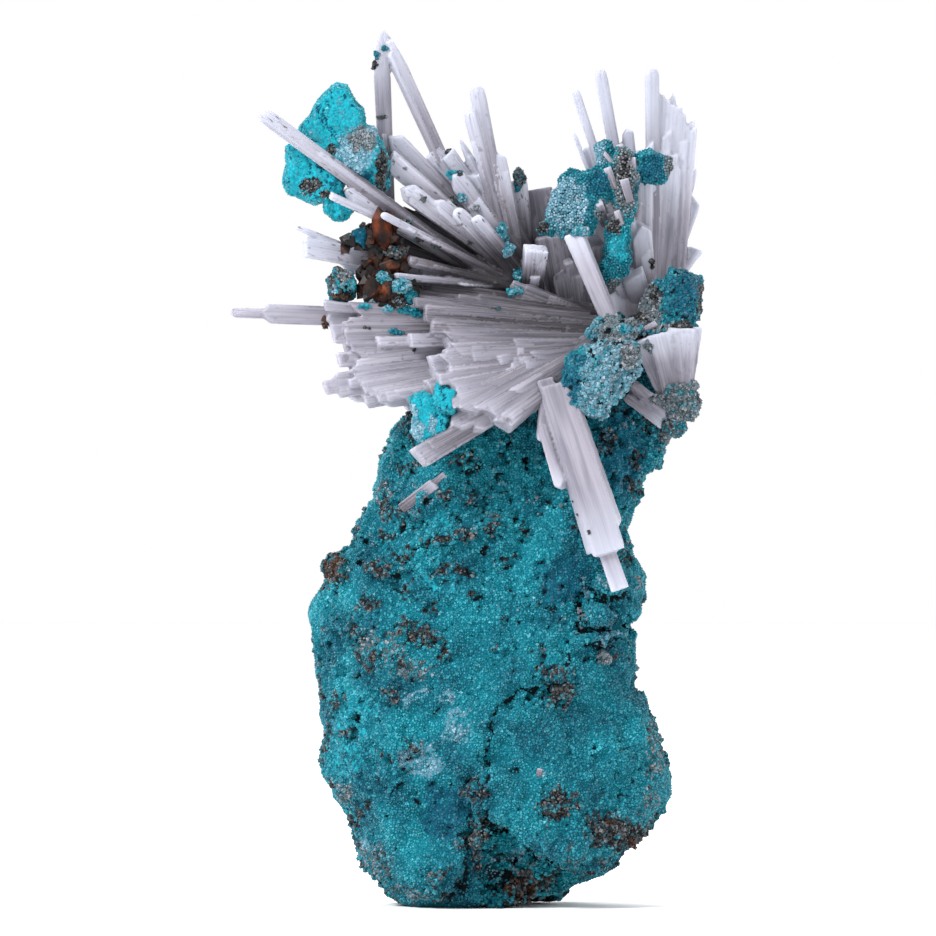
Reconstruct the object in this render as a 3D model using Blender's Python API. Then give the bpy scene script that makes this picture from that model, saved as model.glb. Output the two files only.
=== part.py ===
"""Aragonite sprays on a chunk of chrysocolla: white bladed crystals that radiate from the top of an
upright, turquoise-blue matrix, with druse-coated crumbs of the matrix still clinging to them.

Units are metres and +Z is up. The origin is in the middle of the matrix's flat foot, +X is to the
right of the face in front of which the long blade hangs, and that face looks towards -Y. The tables
below are in millimetres.
"""

import math
from collections import namedtuple

import bmesh
import bpy
from mathutils import Matrix, Vector, noise

MM = 0.001

# Driving sizes, in millimetres
CONTACT_GAP = 0.3
RING_STEP = 1.1
FRONT_SEGMENTS = 64
BACK_SEGMENTS = 40
MATRIX_SHARE_KEPT = 0.2
FOOT_ALLOWANCE = 0.8
SWAY = 14.0
CRYSTAL_SHARES_TRIED = (0.48, 0.52, 0.58, 0.66, 0.76, 0.88, 1.0)
FLAKE_SHARES_TRIED = (0.8, 0.9, 1.0)
BLADE_CORNERS = 6
ROOT_SHARE = 0.72
ROLL_SWING = 24.0
GOLDEN_TURN = 0.618034
NOISE_SEED = 5

# One crystal: its free tip, its buried root, its width and thickness, and how its tip ends
Crystal = namedtuple("Crystal", "tip root width thick end")

# A rough lump seen from the front: its outline in x and z, its front and back, and how square its
# section is (2 is a pebble, more is a plate)
Flake = namedtuple("Flake", "outline front back square")

# A plain knot in which a spray's roots meet: middle and half sizes
Knot = namedtuple("Knot", "middle reach")

# One node: its finish and what it is made of
Group = namedtuple("Group", "name finish crystals knots flakes")

# How far before the tip each ring stands, in widths, then its share of the width and the thickness
ENDS = {
    "blunt": ((0.15, 1.0, 1.0), (0.0, 0.82, 0.75)),
    "chisel": ((0.9, 1.0, 1.0), (0.0, 0.45, 0.8)),
    "round": ((0.6, 1.0, 1.0), (0.18, 0.82, 0.85), (0.0, 0.42, 0.5)),
    "point": ((2.0, 1.0, 1.0), (0.0, 0.2, 0.3)),
}

# Outline of the matrix from the foot up: height, left edge, right edge, front and back
MATRIX_STATIONS = (
    (0.0, -10.6, 8.6, -8.6, 8.2),
    (1.2, -12.0, 9.8, -9.6, 9.0),
    (2.5, -13.0, 11.2, -10.4, 9.8),
    (4.5, -15.0, 15.2, -11.0, 10.6),
    (7.0, -16.0, 16.8, -11.6, 11.4),
    (9.0, -16.4, 18.8, -12.0, 12.0),
    (11.0, -17.0, 20.4, -12.3, 12.4),
    (13.5, -18.9, 21.8, -12.6, 12.8),
    (16.0, -20.1, 21.6, -12.7, 13.0),
    (18.0, -20.2, 20.8, -12.6, 13.2),
    (20.5, -19.8, 20.3, -12.4, 13.2),
    (23.0, -20.4, 19.4, -12.0, 13.2),
    (24.8, -20.2, 18.7, -11.8, 13.2),
    (25.9, -20.4, 17.0, -11.6, 13.2),
    (28.0, -21.0, 17.6, -11.4, 13.2),
    (32.6, -21.3, 17.2, -11.2, 13.2),
    (34.4, -21.5, 16.0, -11.0, 13.2),
    (36.6, -21.2, 18.4, -11.0, 13.2),
    (39.5, -19.8, 18.5, -10.6, 13.0),
    (41.6, -19.0, 17.6, -10.0, 12.8),
    (42.7, -17.0, 17.0, -9.6, 12.6),
    (45.0, -16.5, 16.0, -9.0, 12.4),
    (48.5, -14.5, 18.0, -8.0, 12.0),
    (51.0, -13.5, 18.7, -7.4, 11.7),
    (53.0, -13.4, 20.9, -7.0, 11.4),
    (55.5, -12.5, 22.0, -6.4, 11.2),
    (58.0, -10.5, 22.0, -5.6, 10.8),
    (60.5, -7.8, 21.8, -4.6, 10.4),
    (63.0, -3.6, 22.0, -3.4, 10.0),
    (65.5, 0.6, 23.2, -2.4, 9.6),
    (67.5, 4.2, 23.8, -1.6, 9.0),
    (69.4, 7.0, 23.4, -1.0, 8.4),
    (71.2, 9.6, 21.0, 0.2, 7.4),
)

# Swellings and hollows of the front face: middle x and z, reach in x and z, and height
FRONT_RELIEF = (
    (-13.5, 32.0, 6.0, 5.5, 2.4),
    (-11.8, 18.0, 2.2, 9.0, 1.7),
    (-6.0, 12.5, 2.8, 4.5, -1.4),
    (10.5, 18.0, 8.5, 6.5, 1.4),
    (13.5, 7.4, 3.8, 2.4, 1.3),
    (1.6, 4.2, 3.6, 3.4, -3.4),
    (-8.6, 4.0, 3.8, 3.6, 1.6),
    (5.5, 38.0, 6.0, 7.0, -1.3),
    (12.6, 35.4, 1.8, 1.5, 1.6),
    (15.4, 37.4, 2.8, 1.1, 2.2),
    (13.6, 29.6, 1.4, 1.3, 1.6),
    (8.0, 12.5, 1.8, 1.8, -0.9),
    (-8.6, 32.6, 2.6, 1.8, -0.8),
    (-10.2, 37.4, 1.2, 1.2, 1.0),
    (-14.4, 36.4, 1.2, 1.2, 1.0),
    (-18.0, 40.0, 2.0, 1.8, 1.6),
    (-10.0, 52.0, 4.0, 4.5, 1.0),
    (0.0, 46.0, 3.0, 1.2, 1.1),
    (-6.0, 44.4, 4.0, 1.1, 1.0),
    (15.0, 52.0, 1.6, 6.0, 1.1),
    (3.8, 45.0, 0.8, 2.2, -1.0),
)

# Cracks of the front face: the route in x and z, the crack's half width and depth, then how far the
# face on its left stands out and how far that reaches
Crack = namedtuple("Crack", "route half_width depth lip reach")
CRACKS = (
    Crack(((-1.0, 17.5), (-2.4, 14), (-2.6, 12), (0, 10.3), (3, 8), (6, 6), (10, 4)), 0.7, 1.6, 2.6, 5.0),
    Crack(((-0.4, 16), (-0.3, 20), (0.8, 23.4), (2.5, 25.3), (6, 26.2), (10, 27.2)), 0.6, 1.5, 0.7, 4.0),
    Crack(((9.5, 29.8), (11, 30.5), (14, 31.5), (17, 34.4)), 0.6, 1.6, 1.0, 3.0),
    Crack(((-5.5, 0.5), (-3.4, 3.4), (-2.6, 6), (-3, 9), (-2.6, 12)), 0.7, 1.4, 1.6, 3.0),
    Crack(((0, 47), (-5, 45.2), (-12, 42.4), (-21, 42.4)), 0.7, 0.8, 1.1, 5.0),
    Crack(((18, 42), (14, 40.4), (11.2, 37.2), (11.4, 33.8)), 0.6, 0.9, 0.9, 3.0),
)

# Broken faces of the rock: a point of each and the direction in which it looks
BROKEN_FACES = (
    ((-16.6, -8.2, 20.0), (-0.80, -0.59, 0.05)),
    ((-16.4, 8.6, 26.0), (-0.62, 0.78, 0.05)),
    ((14.6, 8.8, 16.0), (0.66, 0.74, -0.10)),
    ((1.0, 11.2, 50.0), (0.12, 0.95, 0.28)),
    ((-2.0, 11.8, 10.0), (-0.10, 0.91, -0.40)),
    ((12.6, 9.6, 46.0), (0.62, 0.76, 0.18)),
)

# The broad broom of blades to the left, from its top edge down, then the ones behind it
LEFT_FAN = (
    Crystal((-31.0, -5.0, 71.0), (8, -6, 69.8), 1.3, 0.9, "round"),
    Crystal((-28.2, -5.2, 70.9), (9, -6, 69.6), 2.4, 1.3, "chisel"),
    Crystal((-20.0, -7.2, 71.9), (10, -6.5, 68.6), 1.3, 1.0, "blunt"),
    Crystal((-10.5, -4.2, 73.2), (12, -5, 70.6), 1.4, 1.6, "blunt"),
    Crystal((-8.8, -7.0, 72.3), (12, -6, 70.2), 1.7, 1.8, "blunt"),
    Crystal((-6.0, -9.2, 70.9), (12, -7, 69.2), 1.9, 1.8, "chisel"),
    Crystal((-19.9, -6.0, 70.1), (11, -6, 69.0), 2.4, 1.9, "chisel"),
    Crystal((-19.2, -7.2, 68.5), (11, -6, 68.0), 2.4, 1.6, "blunt"),
    Crystal((-17.6, -6.6, 66.5), (11, -6, 67.4), 2.0, 1.6, "blunt"),
    Crystal((-18.4, -8.0, 65.3), (11, -6, 67.0), 1.8, 1.4, "blunt"),
    Crystal((-17.0, -6.8, 63.9), (11, -6, 66.6), 2.2, 1.6, "blunt"),
    Crystal((-20.0, -8.8, 62.0), (11, -7, 66.4), 3.0, 1.5, "blunt"),
    Crystal((-17.0, -7.2, 60.9), (11, -6, 65.8), 1.8, 1.5, "chisel"),
    Crystal((-15.2, -8.6, 60.4), (11, -7, 65.6), 1.8, 1.5, "blunt"),
    Crystal((-12.6, -9.4, 60.4), (11, -7, 65.4), 2.1, 1.5, "round"),
    Crystal((-10.6, -8.6, 60.1), (11, -7, 65.0), 2.0, 1.6, "blunt"),
    Crystal((-13.6, -9.6, 67.4), (11, -7, 67.6), 1.2, 1.2, "blunt"),
    Crystal((-9.8, -10.6, 67.6), (12, -7.6, 67.8), 1.7, 1.4, "blunt"),
    Crystal((-6.8, -11.6, 69.0), (12, -7.6, 68.6), 1.9, 1.5, "blunt"),
    Crystal((-5.4, -11.4, 66.6), (12, -8, 67.4), 2.4, 1.6, "blunt"),
    Crystal((-7.4, -11.2, 64.4), (12, -8, 66.6), 2.8, 1.6, "blunt"),
    Crystal((-5.0, -12.4, 62.2), (12, -8, 66.0), 3.2, 1.8, "blunt"),
    Crystal((-7.6, -10.8, 61.6), (11, -8, 65.4), 2.6, 1.5, "blunt"),
    Crystal((-4.4, -10.6, 59.8), (11, -7.6, 65.0), 2.6, 1.5, "blunt"),
    Crystal((-5.0, -12.4, 57.2), (10, -8, 64.6), 2.2, 1.6, "chisel"),
    Crystal((-8.9, -12.2, 53.4), (9, -8, 64.0), 2.8, 1.7, "round"),
    Crystal((-2.0, -11.8, 56.9), (9, -8, 63.8), 1.5, 1.3, "chisel"),
    Crystal((-0.6, -12.6, 58.9), (10, -8, 64.8), 2.6, 1.7, "blunt"),
    Crystal((1.3, -12.6, 57.2), (9.6, -8, 64.2), 2.1, 1.6, "blunt"),
    Crystal((4.0, -11.4, 60.0), (10.6, -8, 65.0), 2.8, 1.8, "chisel"),
    Crystal((1.0, -13.2, 64.0), (13, -8, 67.0), 4.4, 2.0, "chisel"),
    Crystal((-14.5, -4.4, 67.4), (12, -4.6, 68.6), 6.0, 2.2, "chisel"),
    Crystal((-13.6, -5.4, 62.8), (12, -5.2, 66.8), 5.0, 2.2, "blunt"),
    Crystal((-3.0, -8.4, 61.0), (11, -6.6, 66.2), 6.0, 2.4, "chisel"),
    Crystal((-4.0, -5.0, 71.4), (12, -5, 69.4), 4.4, 2.0, "blunt"),
    Crystal((-9.0, -2.8, 73.5), (12.4, -4, 70.8), 3.2, 1.6, "blunt"),
    Crystal((2.0, -4.6, 73.6), (12.8, -4.6, 69.6), 3.4, 1.6, "chisel"),
    Crystal((-15.5, 1.6, 69.4), (10.5, -3.2, 68.8), 2.2, 1.6, "blunt"),
    Crystal((-11.0, 3.4, 64.6), (10.5, -3.2, 67.4), 2.4, 1.8, "chisel"),
    Crystal((-12.0, 6.4, 71.0), (10.5, -3.2, 69.4), 1.8, 1.5, "round"),
)

# The spray above it, up and to the left, with the tall pair of spikes that share a tip
UPPER_SPRAY = (
    Crystal((-27.4, -8.6, 94.8), (1.6, -2, 73.8), 2.0, 1.4, "round"),
    Crystal((-17.4, -5.8, 85.8), (2.6, -1.4, 73.8), 2.8, 1.3, "chisel"),
    Crystal((-19.2, -7.4, 85.0), (3, -1, 74.8), 0.9, 0.9, "blunt"),
    Crystal((-13.2, 3.2, 105.4), (-0.9, 1.6, 78.6), 2.1, 1.5, "round"),
    Crystal((-13.2, 2.2, 104.4), (-11.8, 1.0, 84.0), 2.4, 1.5, "round"),
    Crystal((-12.3, -2.4, 89.6), (3.6, -0.6, 76.0), 2.4, 1.7, "blunt"),
    Crystal((-10.6, -4.6, 86.0), (4, -1, 75.4), 2.4, 1.7, "chisel"),
    Crystal((-12.0, 0.4, 92.3), (3.4, 0.6, 76.4), 2.4, 1.7, "chisel"),
    Crystal((-7.4, 2.4, 90.6), (4, 0.8, 76.6), 2.8, 1.8, "blunt"),
    Crystal((-5.2, 0.4, 90.4), (4.4, -0.2, 76.6), 1.9, 1.6, "blunt"),
    Crystal((-4.6, -1.8, 87.8), (4.4, -0.6, 76.4), 2.4, 1.6, "chisel"),
    Crystal((-3.7, 0.8, 92.1), (4.2, 0.4, 76.4), 1.2, 1.1, "point"),
    Crystal((-1.7, -1.6, 98.3), (2.6, -0.8, 76.6), 2.0, 1.5, "round"),
    Crystal((-2.5, -2.0, 95.4), (2.4, -1, 76.6), 1.7, 1.4, "round"),
    Crystal((0.9, -1.2, 90.3), (3.8, -0.8, 76.2), 1.8, 1.4, "chisel"),
    Crystal((3.0, 1.6, 87.4), (4.6, 0.6, 75.4), 2.8, 1.4, "blunt"),
    Crystal((5.5, -3.6, 78.8), (4.8, -1.4, 73.2), 2.9, 2.4, "blunt"),
    Crystal((-4.2, -5.4, 83.3), (3.4, -1.6, 75.4), 1.9, 1.3, "round"),
    Crystal((-1.8, -5.6, 82.5), (4.2, -1.6, 75.4), 1.6, 1.2, "round"),
    Crystal((-6.8, -4.4, 84.4), (3.8, -1.4, 75.4), 1.8, 1.4, "chisel"),
    Crystal((-13.0, -8.4, 82.7), (3.0, -1.6, 74.6), 1.0, 0.8, "round"),
    Crystal((-9.9, -7.0, 77.2), (3.0, -1.6, 74.2), 1.2, 1.0, "blunt"),
    Crystal((-11.4, -7.6, 75.3), (3.0, -1.6, 74.0), 0.9, 0.8, "blunt"),
    Crystal((-8.6, -5.4, 75.5), (3.0, -1.6, 74.4), 1.6, 1.0, "blunt"),
    Crystal((-22.6, -3.6, 78.9), (2.6, -1, 74.2), 2.3, 1.5, "blunt"),
    Crystal((-23.9, -3.4, 81.5), (-9.0, -2, 75.8), 0.8, 0.8, "point"),
    Crystal((-18.2, -2.4, 77.0), (2.6, -1, 74.0), 2.0, 1.5, "chisel"),
    Crystal((-15.0, -1.8, 75.6), (2.6, -1, 73.8), 2.4, 1.7, "blunt"),
    Crystal((-13.4, -0.6, 83.0), (3.2, 0.2, 75.2), 4.2, 2.0, "chisel"),
    Crystal((-12.4, -1.4, 79.2), (3.0, -0.4, 74.8), 4.0, 1.8, "chisel"),
    Crystal((-9.4, 0.8, 87.0), (3.8, 0.4, 75.8), 4.6, 1.8, "blunt"),
    Crystal((-2.6, 0.2, 88.6), (4.0, 0, 76.0), 5.2, 1.8, "chisel"),
    Crystal((-9.0, 8.8, 85.6), (3.6, 1.2, 75.8), 2.2, 1.7, "chisel"),
    Crystal((-12.6, 8.4, 79.0), (3.4, 1.2, 74.8), 2.0, 1.6, "blunt"),
    Crystal((-3.4, 9.8, 87.0), (4.2, 1.4, 76.2), 2.1, 1.6, "round"),
    Crystal((1.6, 11.0, 83.6), (4.6, 1.4, 75.4), 2.0, 1.6, "blunt"),
)

# The upright columns to the right
RIGHT_COLUMNS = (
    Crystal((10.2, 3.4, 98.0), (18.0, 3, 74.4), 1.1, 0.9, "round"),
    Crystal((9.8, 3.0, 93.4), (17.0, 3, 75.0), 0.6, 0.6, "point"),
    Crystal((13.2, 4.0, 100.5), (18.0, 3.4, 74.4), 1.6, 1.2, "round"),
    Crystal((11.9, 4.4, 91.6), (17.8, 4, 73.8), 2.4, 1.6, "blunt"),
    Crystal((16.5, 4.8, 93.5), (18.8, 4, 74.0), 1.5, 1.2, "chisel"),
    Crystal((15.2, 5.4, 91.6), (18.6, 4.2, 74.0), 3.0, 1.8, "chisel"),
    Crystal((19.5, 5.2, 100.6), (19.8, 4, 74.0), 1.7, 1.4, "round"),
    Crystal((21.2, 5.2, 97.1), (20.4, 4.2, 74.0), 2.4, 1.6, "blunt"),
    Crystal((22.1, 5.8, 97.8), (20.8, 4.2, 74.0), 1.2, 1.2, "chisel"),
    Crystal((24.0, 6.2, 94.5), (22.0, 4.4, 74.0), 1.5, 1.2, "blunt"),
    Crystal((23.0, 5.0, 94.1), (21.0, 4.0, 74.0), 1.6, 1.3, "blunt"),
    Crystal((25.0, 6.0, 88.8), (22.4, 5, 81.0), 1.0, 0.9, "point"),
    Crystal((24.6, 5.6, 85.3), (20.8, 4.2, 74.6), 2.4, 1.4, "chisel"),
    Crystal((25.0, 4.6, 79.0), (21.0, 4, 73.6), 1.6, 1.3, "blunt"),
    Crystal((18.4, 2.4, 89.6), (19.0, 3, 73.0), 2.8, 1.6, "blunt"),
    Crystal((21.4, 3.2, 90.6), (20.2, 3.4, 73.0), 3.4, 1.8, "blunt"),
    Crystal((22.4, 3.8, 83.6), (20.6, 3.6, 73.0), 3.6, 1.8, "chisel"),
    Crystal((13.2, 1.0, 82.6), (17.8, 2.2, 72.4), 2.4, 1.5, "blunt"),
    Crystal((15.6, 0.6, 84.0), (18.4, 2, 72.4), 2.6, 1.5, "blunt"),
    Crystal((18.0, 0.2, 82.0), (19.0, 1.8, 72.0), 2.6, 1.5, "chisel"),
    Crystal((10.8, 3.2, 86.0), (16.8, 3.2, 73.4), 3.4, 1.6, "blunt"),
    Crystal((12.4, 1.8, 80.6), (17.4, 2.8, 71.6), 4.8, 1.5, "blunt"),
    Crystal((14.4, -1.0, 77.6), (18.0, 1.6, 71.0), 2.8, 1.7, "chisel"),
    Crystal((17.0, -1.4, 76.0), (18.8, 1.4, 71.0), 2.8, 1.7, "blunt"),
    Crystal((17.4, 11.4, 91.0), (19.2, 4.8, 73.6), 2.2, 1.6, "round"),
    Crystal((21.6, 12.2, 86.4), (20.0, 4.8, 73.6), 2.0, 1.6, "chisel"),
    Crystal((13.6, 11.6, 84.6), (18.6, 4.8, 73.6), 2.0, 1.6, "blunt"),
)

# The greyish blocks and plates between the upper spray and the columns
MIDDLE_PLATES = (
    Crystal((5.6, 3.2, 86.0), (8.2, 3.4, 72.2), 3.8, 1.4, "blunt"),
    Crystal((8.2, 3.0, 85.2), (10.0, 3.4, 72.0), 3.2, 1.4, "blunt"),
    Crystal((7.6, 0.6, 80.4), (9.4, 2.6, 71.8), 4.6, 1.6, "blunt"),
    Crystal((9.0, -1.0, 77.4), (10.2, 1.8, 71.6), 3.4, 1.8, "chisel"),
    Crystal((9.4, 8.0, 83.6), (10.6, 4.0, 72.4), 2.4, 1.6, "chisel"),
)

FRONT_BLADE = (Crystal((9.7, -6.4, 81.2), (15.0, -8.0, 68.4), 2.4, 1.5, "blunt"),)

# The long blade that hangs in front of the matrix and the shorter ones grown along it
LOWER_BLADES = (
    Crystal((12.5, -13.6, 42.5), (6.6, -12.0, 62.0), 3.1, 1.7, "blunt"),
    Crystal((15.0, -13.8, 43.0), (8.2, -12.2, 61.0), 3.0, 1.8, "blunt"),
    Crystal((15.5, -13.9, 38.0), (11.6, -13.0, 49.0), 2.4, 1.5, "blunt"),
    Crystal((6.0, -11.9, 55.6), (6.4, -12.0, 61.0), 1.2, 1.2, "round"),
    Crystal((8.5, -13.0, 49.8), (6.2, -12.0, 57.4), 1.4, 1.5, "chisel"),
)

# The short thick crystals below the cap on the right, and the thin grey ones behind the knob
RIGHT_STUMP = (
    Crystal((22.9, -4.4, 68.4), (22.4, -4.0, 58.6), 3.0, 2.6, "blunt"),
    Crystal((20.6, -5.0, 68.0), (22.6, -4.4, 59.4), 3.2, 2.4, "blunt"),
    Crystal((18.9, -4.6, 67.6), (21.8, -4.0, 60.6), 2.6, 2.2, "blunt"),
    Crystal((23.8, -3.4, 68.8), (23.8, -3.0, 59.6), 1.9, 2.4, "blunt"),
    Crystal((22.6, -5.4, 57.6), (17.0, -4.4, 62.4), 1.6, 1.3, "chisel"),
    Crystal((20.8, -5.0, 57.6), (16.2, -4.4, 61.0), 1.3, 1.2, "blunt"),
    Crystal((24.4, -4.6, 60.2), (19.8, -4.2, 63.4), 1.9, 1.9, "blunt"),
)
STUMP_RIM = (
    Flake(
        ((19.4, 61.0), (20.8, 62.8), (22.6, 62.0), (24.8, 62.6), (25.1, 60.4), (25.0, 58.2),
         (24.2, 56.5), (22.6, 55.4), (21.0, 56.0), (21.2, 58.0), (20.0, 59.2)),
        -6.0, -1.2, 3.0,
    ),
)

DRUSE_KNOB = (
    Flake(
        ((8.2, 62.8), (8.8, 64.8), (10.0, 66.4), (12.0, 67.0), (13.4, 67.6), (15.4, 68.4), (16.8, 67.8),
         (17.8, 66.0), (18.2, 64.0), (16.8, 62.4), (15.0, 60.2), (13.2, 58.0), (10.8, 58.4),
         (9.0, 59.6), (8.2, 61.0)),
        -14.4, -8.6, 2.6,
    ),
    Flake(
        ((12.2, 69.2), (13.6, 70.2), (16.4, 70.0), (17.8, 69.0), (16.8, 67.0), (13.0, 67.0)),
        -11.6, -8.6, 2.8,
    ),
)
DRUSE_CRUST_UPPER = (
    Flake(
        ((6.6, 81.0), (6.5, 82.6), (7.2, 84.6), (7.9, 86.2), (8.3, 87.6), (9.6, 88.6), (11.2, 88.2),
         (12.8, 88.6), (14.4, 88.2), (15.0, 86.6), (14.8, 84.8), (13.8, 83.2), (12.8, 81.4),
         (12.2, 80.3), (10.2, 80.3), (8.2, 80.1)),
        -4.0, -0.9, 3.4,
    ),
    Flake(((5.7, 81.0), (6.0, 82.0), (7.2, 82.3), (7.9, 81.2), (7.4, 80.4), (6.2, 80.4)), -3.6, -1.8, 2.8),
    Flake(
        ((12.5, 90.6), (12.7, 91.4), (13.6, 92.1), (14.6, 91.8), (15.1, 90.4), (15.8, 88.4), (15.0, 86.8),
         (13.4, 87.2), (12.8, 88.8)),
        -3.2, -0.8, 2.8,
    ),
    Flake(
        ((14.8, 90.6), (16.0, 91.1), (17.4, 90.4), (18.0, 89.0), (18.0, 87.4), (17.8, 85.4), (17.6, 83.0),
         (16.6, 81.4), (15.2, 81.8), (14.6, 83.6), (14.2, 86.0), (14.4, 88.6)),
        -3.6, -0.8, 2.8,
    ),
    Flake(
        ((17.2, 89.2), (17.8, 90.5), (19.2, 90.5), (20.4, 89.9), (21.8, 89.7), (22.0, 88.2), (21.3, 86.8),
         (19.6, 86.1), (18.4, 86.4), (17.2, 87.4)),
        -3.4, -0.6, 2.8,
    ),
    Flake(
        ((13.6, 82.2), (15.0, 83.0), (16.8, 82.4), (16.9, 80.2), (16.4, 79.0), (17.0, 77.2), (16.6, 75.3),
         (15.6, 74.6), (14.6, 75.8), (13.6, 77.4), (13.6, 79.6)),
        -4.0, -1.4, 2.8,
    ),
    Flake(
        ((13.0, 75.4), (13.4, 77.4), (15.2, 77.2), (16.0, 74.6), (14.8, 73.6), (13.6, 74.0)),
        -4.0, -1.8, 2.8,
    ),
)
DRUSE_CAP_RIGHT = (
    Flake(
        ((20.8, 75.2), (21.4, 76.8), (23.4, 76.3), (25.3, 75.4), (25.5, 73.0), (25.1, 70.0), (23.4, 68.9),
         (21.4, 68.9), (20.0, 70.6), (20.2, 73.4)),
        -6.0, -0.2, 3.0,
    ),
    Flake(
        ((17.4, 69.0), (17.8, 71.4), (18.5, 74.0), (20.0, 75.1), (21.8, 74.8), (22.2, 71.0), (20.6, 68.8)),
        -5.2, -0.6, 2.8,
    ),
    Flake(
        ((16.2, 69.6), (19.0, 70.8), (24.4, 70.6), (25.0, 69.2), (21.0, 68.5), (17.2, 68.3)),
        -6.0, -2.0, 3.0,
    ),
)
CHRYSOCOLLA_CHIP_LEFT = (
    Flake(
        ((-18.4, 98.5), (-19.9, 97.2), (-21.0, 95.7), (-21.7, 94.4), (-23.1, 92.7), (-21.6, 91.0),
         (-19.4, 89.0), (-16.6, 89.4), (-14.8, 93.0), (-15.1, 95.3), (-16.1, 96.2), (-17.1, 98.3)),
        -5.8, -2.2, 4.0,
    ),
    Flake(
        ((-24.4, 91.0), (-24.4, 89.0), (-24.8, 86.5), (-24.2, 85.3), (-22.4, 84.6), (-20.8, 83.9),
         (-19.4, 84.3), (-17.6, 85.6), (-17.0, 88.0), (-18.8, 90.8), (-22.0, 91.8)),
        -6.4, -2.6, 4.0,
    ),
    Flake(
        ((-19.0, 88.2), (-18.8, 90.6), (-17.4, 92.8), (-15.4, 93.5), (-13.8, 93.2), (-13.0, 91.0),
         (-13.0, 88.4), (-14.0, 86.4), (-16.8, 85.9)),
        -6.8, -1.8, 2.8,
    ),
    Flake(
        ((-19.8, 84.4), (-19.9, 83.0), (-18.6, 81.9), (-17.2, 82.1), (-16.2, 83.4), (-17.0, 85.0),
         (-18.4, 86.2), (-19.6, 86.0)),
        -5.8, -3.6, 3.0,
    ),
    Flake(
        ((-15.6, 90.6), (-13.0, 91.8), (-12.0, 89.0), (-12.0, 86.2), (-13.4, 85.0), (-15.8, 86.6)),
        -5.4, -1.0, 3.0,
    ),
)
CHRYSOCOLLA_CHIP_LOWER = (
    Flake(
        ((-9.7, 60.8), (-7.6, 61.8), (-6.0, 60.8), (-4.9, 58.4), (-4.9, 56.8), (-6.6, 55.6), (-8.2, 55.1),
         (-9.5, 56.6), (-9.1, 58.6)),
        -13.0, -9.4, 3.6,
    ),
    Flake(
        ((-6.4, 62.5), (-4.1, 62.3), (-3.7, 60.5), (-4.4, 59.0), (-5.9, 58.7), (-6.9, 60.4)),
        -14.0, -10.6, 2.8,
    ),
)
LIMONITE_CLUSTER = (
    Flake(
        ((-14.8, 79.0), (-14.7, 81.6), (-14.0, 83.2), (-13.2, 83.9), (-12.3, 82.8), (-11.0, 81.2),
         (-10.8, 79.6), (-12.2, 78.4), (-13.6, 77.8)),
        -7.2, -4.4, 3.4,
    ),
    Flake(
        ((-14.8, 78.6), (-12.8, 79.8), (-10.2, 78.8), (-8.6, 77.4), (-9.6, 75.9), (-12.0, 75.3),
         (-14.4, 75.8)),
        -7.0, -4.4, 2.8,
    ),
    Flake(
        ((-16.0, 72.9), (-16.0, 75.4), (-14.8, 77.4), (-12.6, 76.8), (-12.2, 73.8), (-13.6, 72.4)),
        -7.6, -4.6, 3.2,
    ),
    Flake(
        ((-18.4, 79.0), (-16.6, 80.6), (-14.6, 82.0), (-13.0, 81.0), (-13.0, 78.6), (-15.4, 78.2)),
        -6.6, -4.4, 4.0,
    ),
    Flake(
        ((-14.0, 75.6), (-11.4, 75.9), (-9.0, 74.5), (-8.2, 72.6), (-10.8, 71.4), (-13.8, 71.4),
         (-15.8, 71.8), (-15.0, 73.8)),
        -9.6, -6.0, 2.8,
    ),
)
DRUSE_CRUMB_LEFT = (
    Flake(
        ((-19.3, 72.4), (-19.5, 74.6), (-18.4, 76.4), (-16.4, 76.2), (-15.6, 74.4), (-16.2, 72.6),
         (-17.6, 72.0)),
        -8.0, -4.6, 2.8,
    ),
)

FAN_KNOT = Knot((11.6, -5.8, 67.6), (2.6, 2.4, 2.6))
SPRAY_KNOT = Knot((3.6, -0.4, 75.2), (1.6, 1.9, 1.6))
COLUMNS_KNOT = Knot((19.2, 3.2, 73.0), (2.6, 2.6, 2.2))
PLATES_KNOT = Knot((10.0, 2.2, 72.0), (2.8, 2.4, 1.4))

GROUPS = (
    Group("aragonite_fan_left", "aragonite", LEFT_FAN, (FAN_KNOT,), ()),
    Group("aragonite_spray_upper", "aragonite", UPPER_SPRAY, (SPRAY_KNOT,), ()),
    Group("aragonite_columns_right", "aragonite", RIGHT_COLUMNS, (COLUMNS_KNOT,), ()),
    Group("aragonite_plates_middle", "aragonite", MIDDLE_PLATES, (PLATES_KNOT,), ()),
    Group("aragonite_blade_front", "aragonite", FRONT_BLADE, (), ()),
    Group("aragonite_blades_lower", "aragonite", LOWER_BLADES, (), ()),
    Group("aragonite_stump_right", "aragonite", RIGHT_STUMP, (), STUMP_RIM),
    Group("druse_knob", "pale_druse", (), (), DRUSE_KNOB),
    Group("druse_crust_upper", "pale_druse", (), (), DRUSE_CRUST_UPPER),
    Group("druse_cap_right", "dark_druse", (), (), DRUSE_CAP_RIGHT),
    Group("chrysocolla_chip_left", "bright_chrysocolla", (), (), CHRYSOCOLLA_CHIP_LEFT),
    Group("chrysocolla_chip_lower", "bright_chrysocolla", (), (), CHRYSOCOLLA_CHIP_LOWER),
    Group("limonite_cluster", "limonite", (), (), LIMONITE_CLUSTER),
    Group("druse_crumb_left", "dark_druse", (), (), DRUSE_CRUMB_LEFT),
)

# Where the rings of a flake stand between its middle (0) and its front and back (1)
PEBBLE_DEPTHS = (-0.94, -0.55, 0.0, 0.55, 0.94)
PLATE_DEPTHS = (-0.86, 0.0, 0.86)

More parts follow.
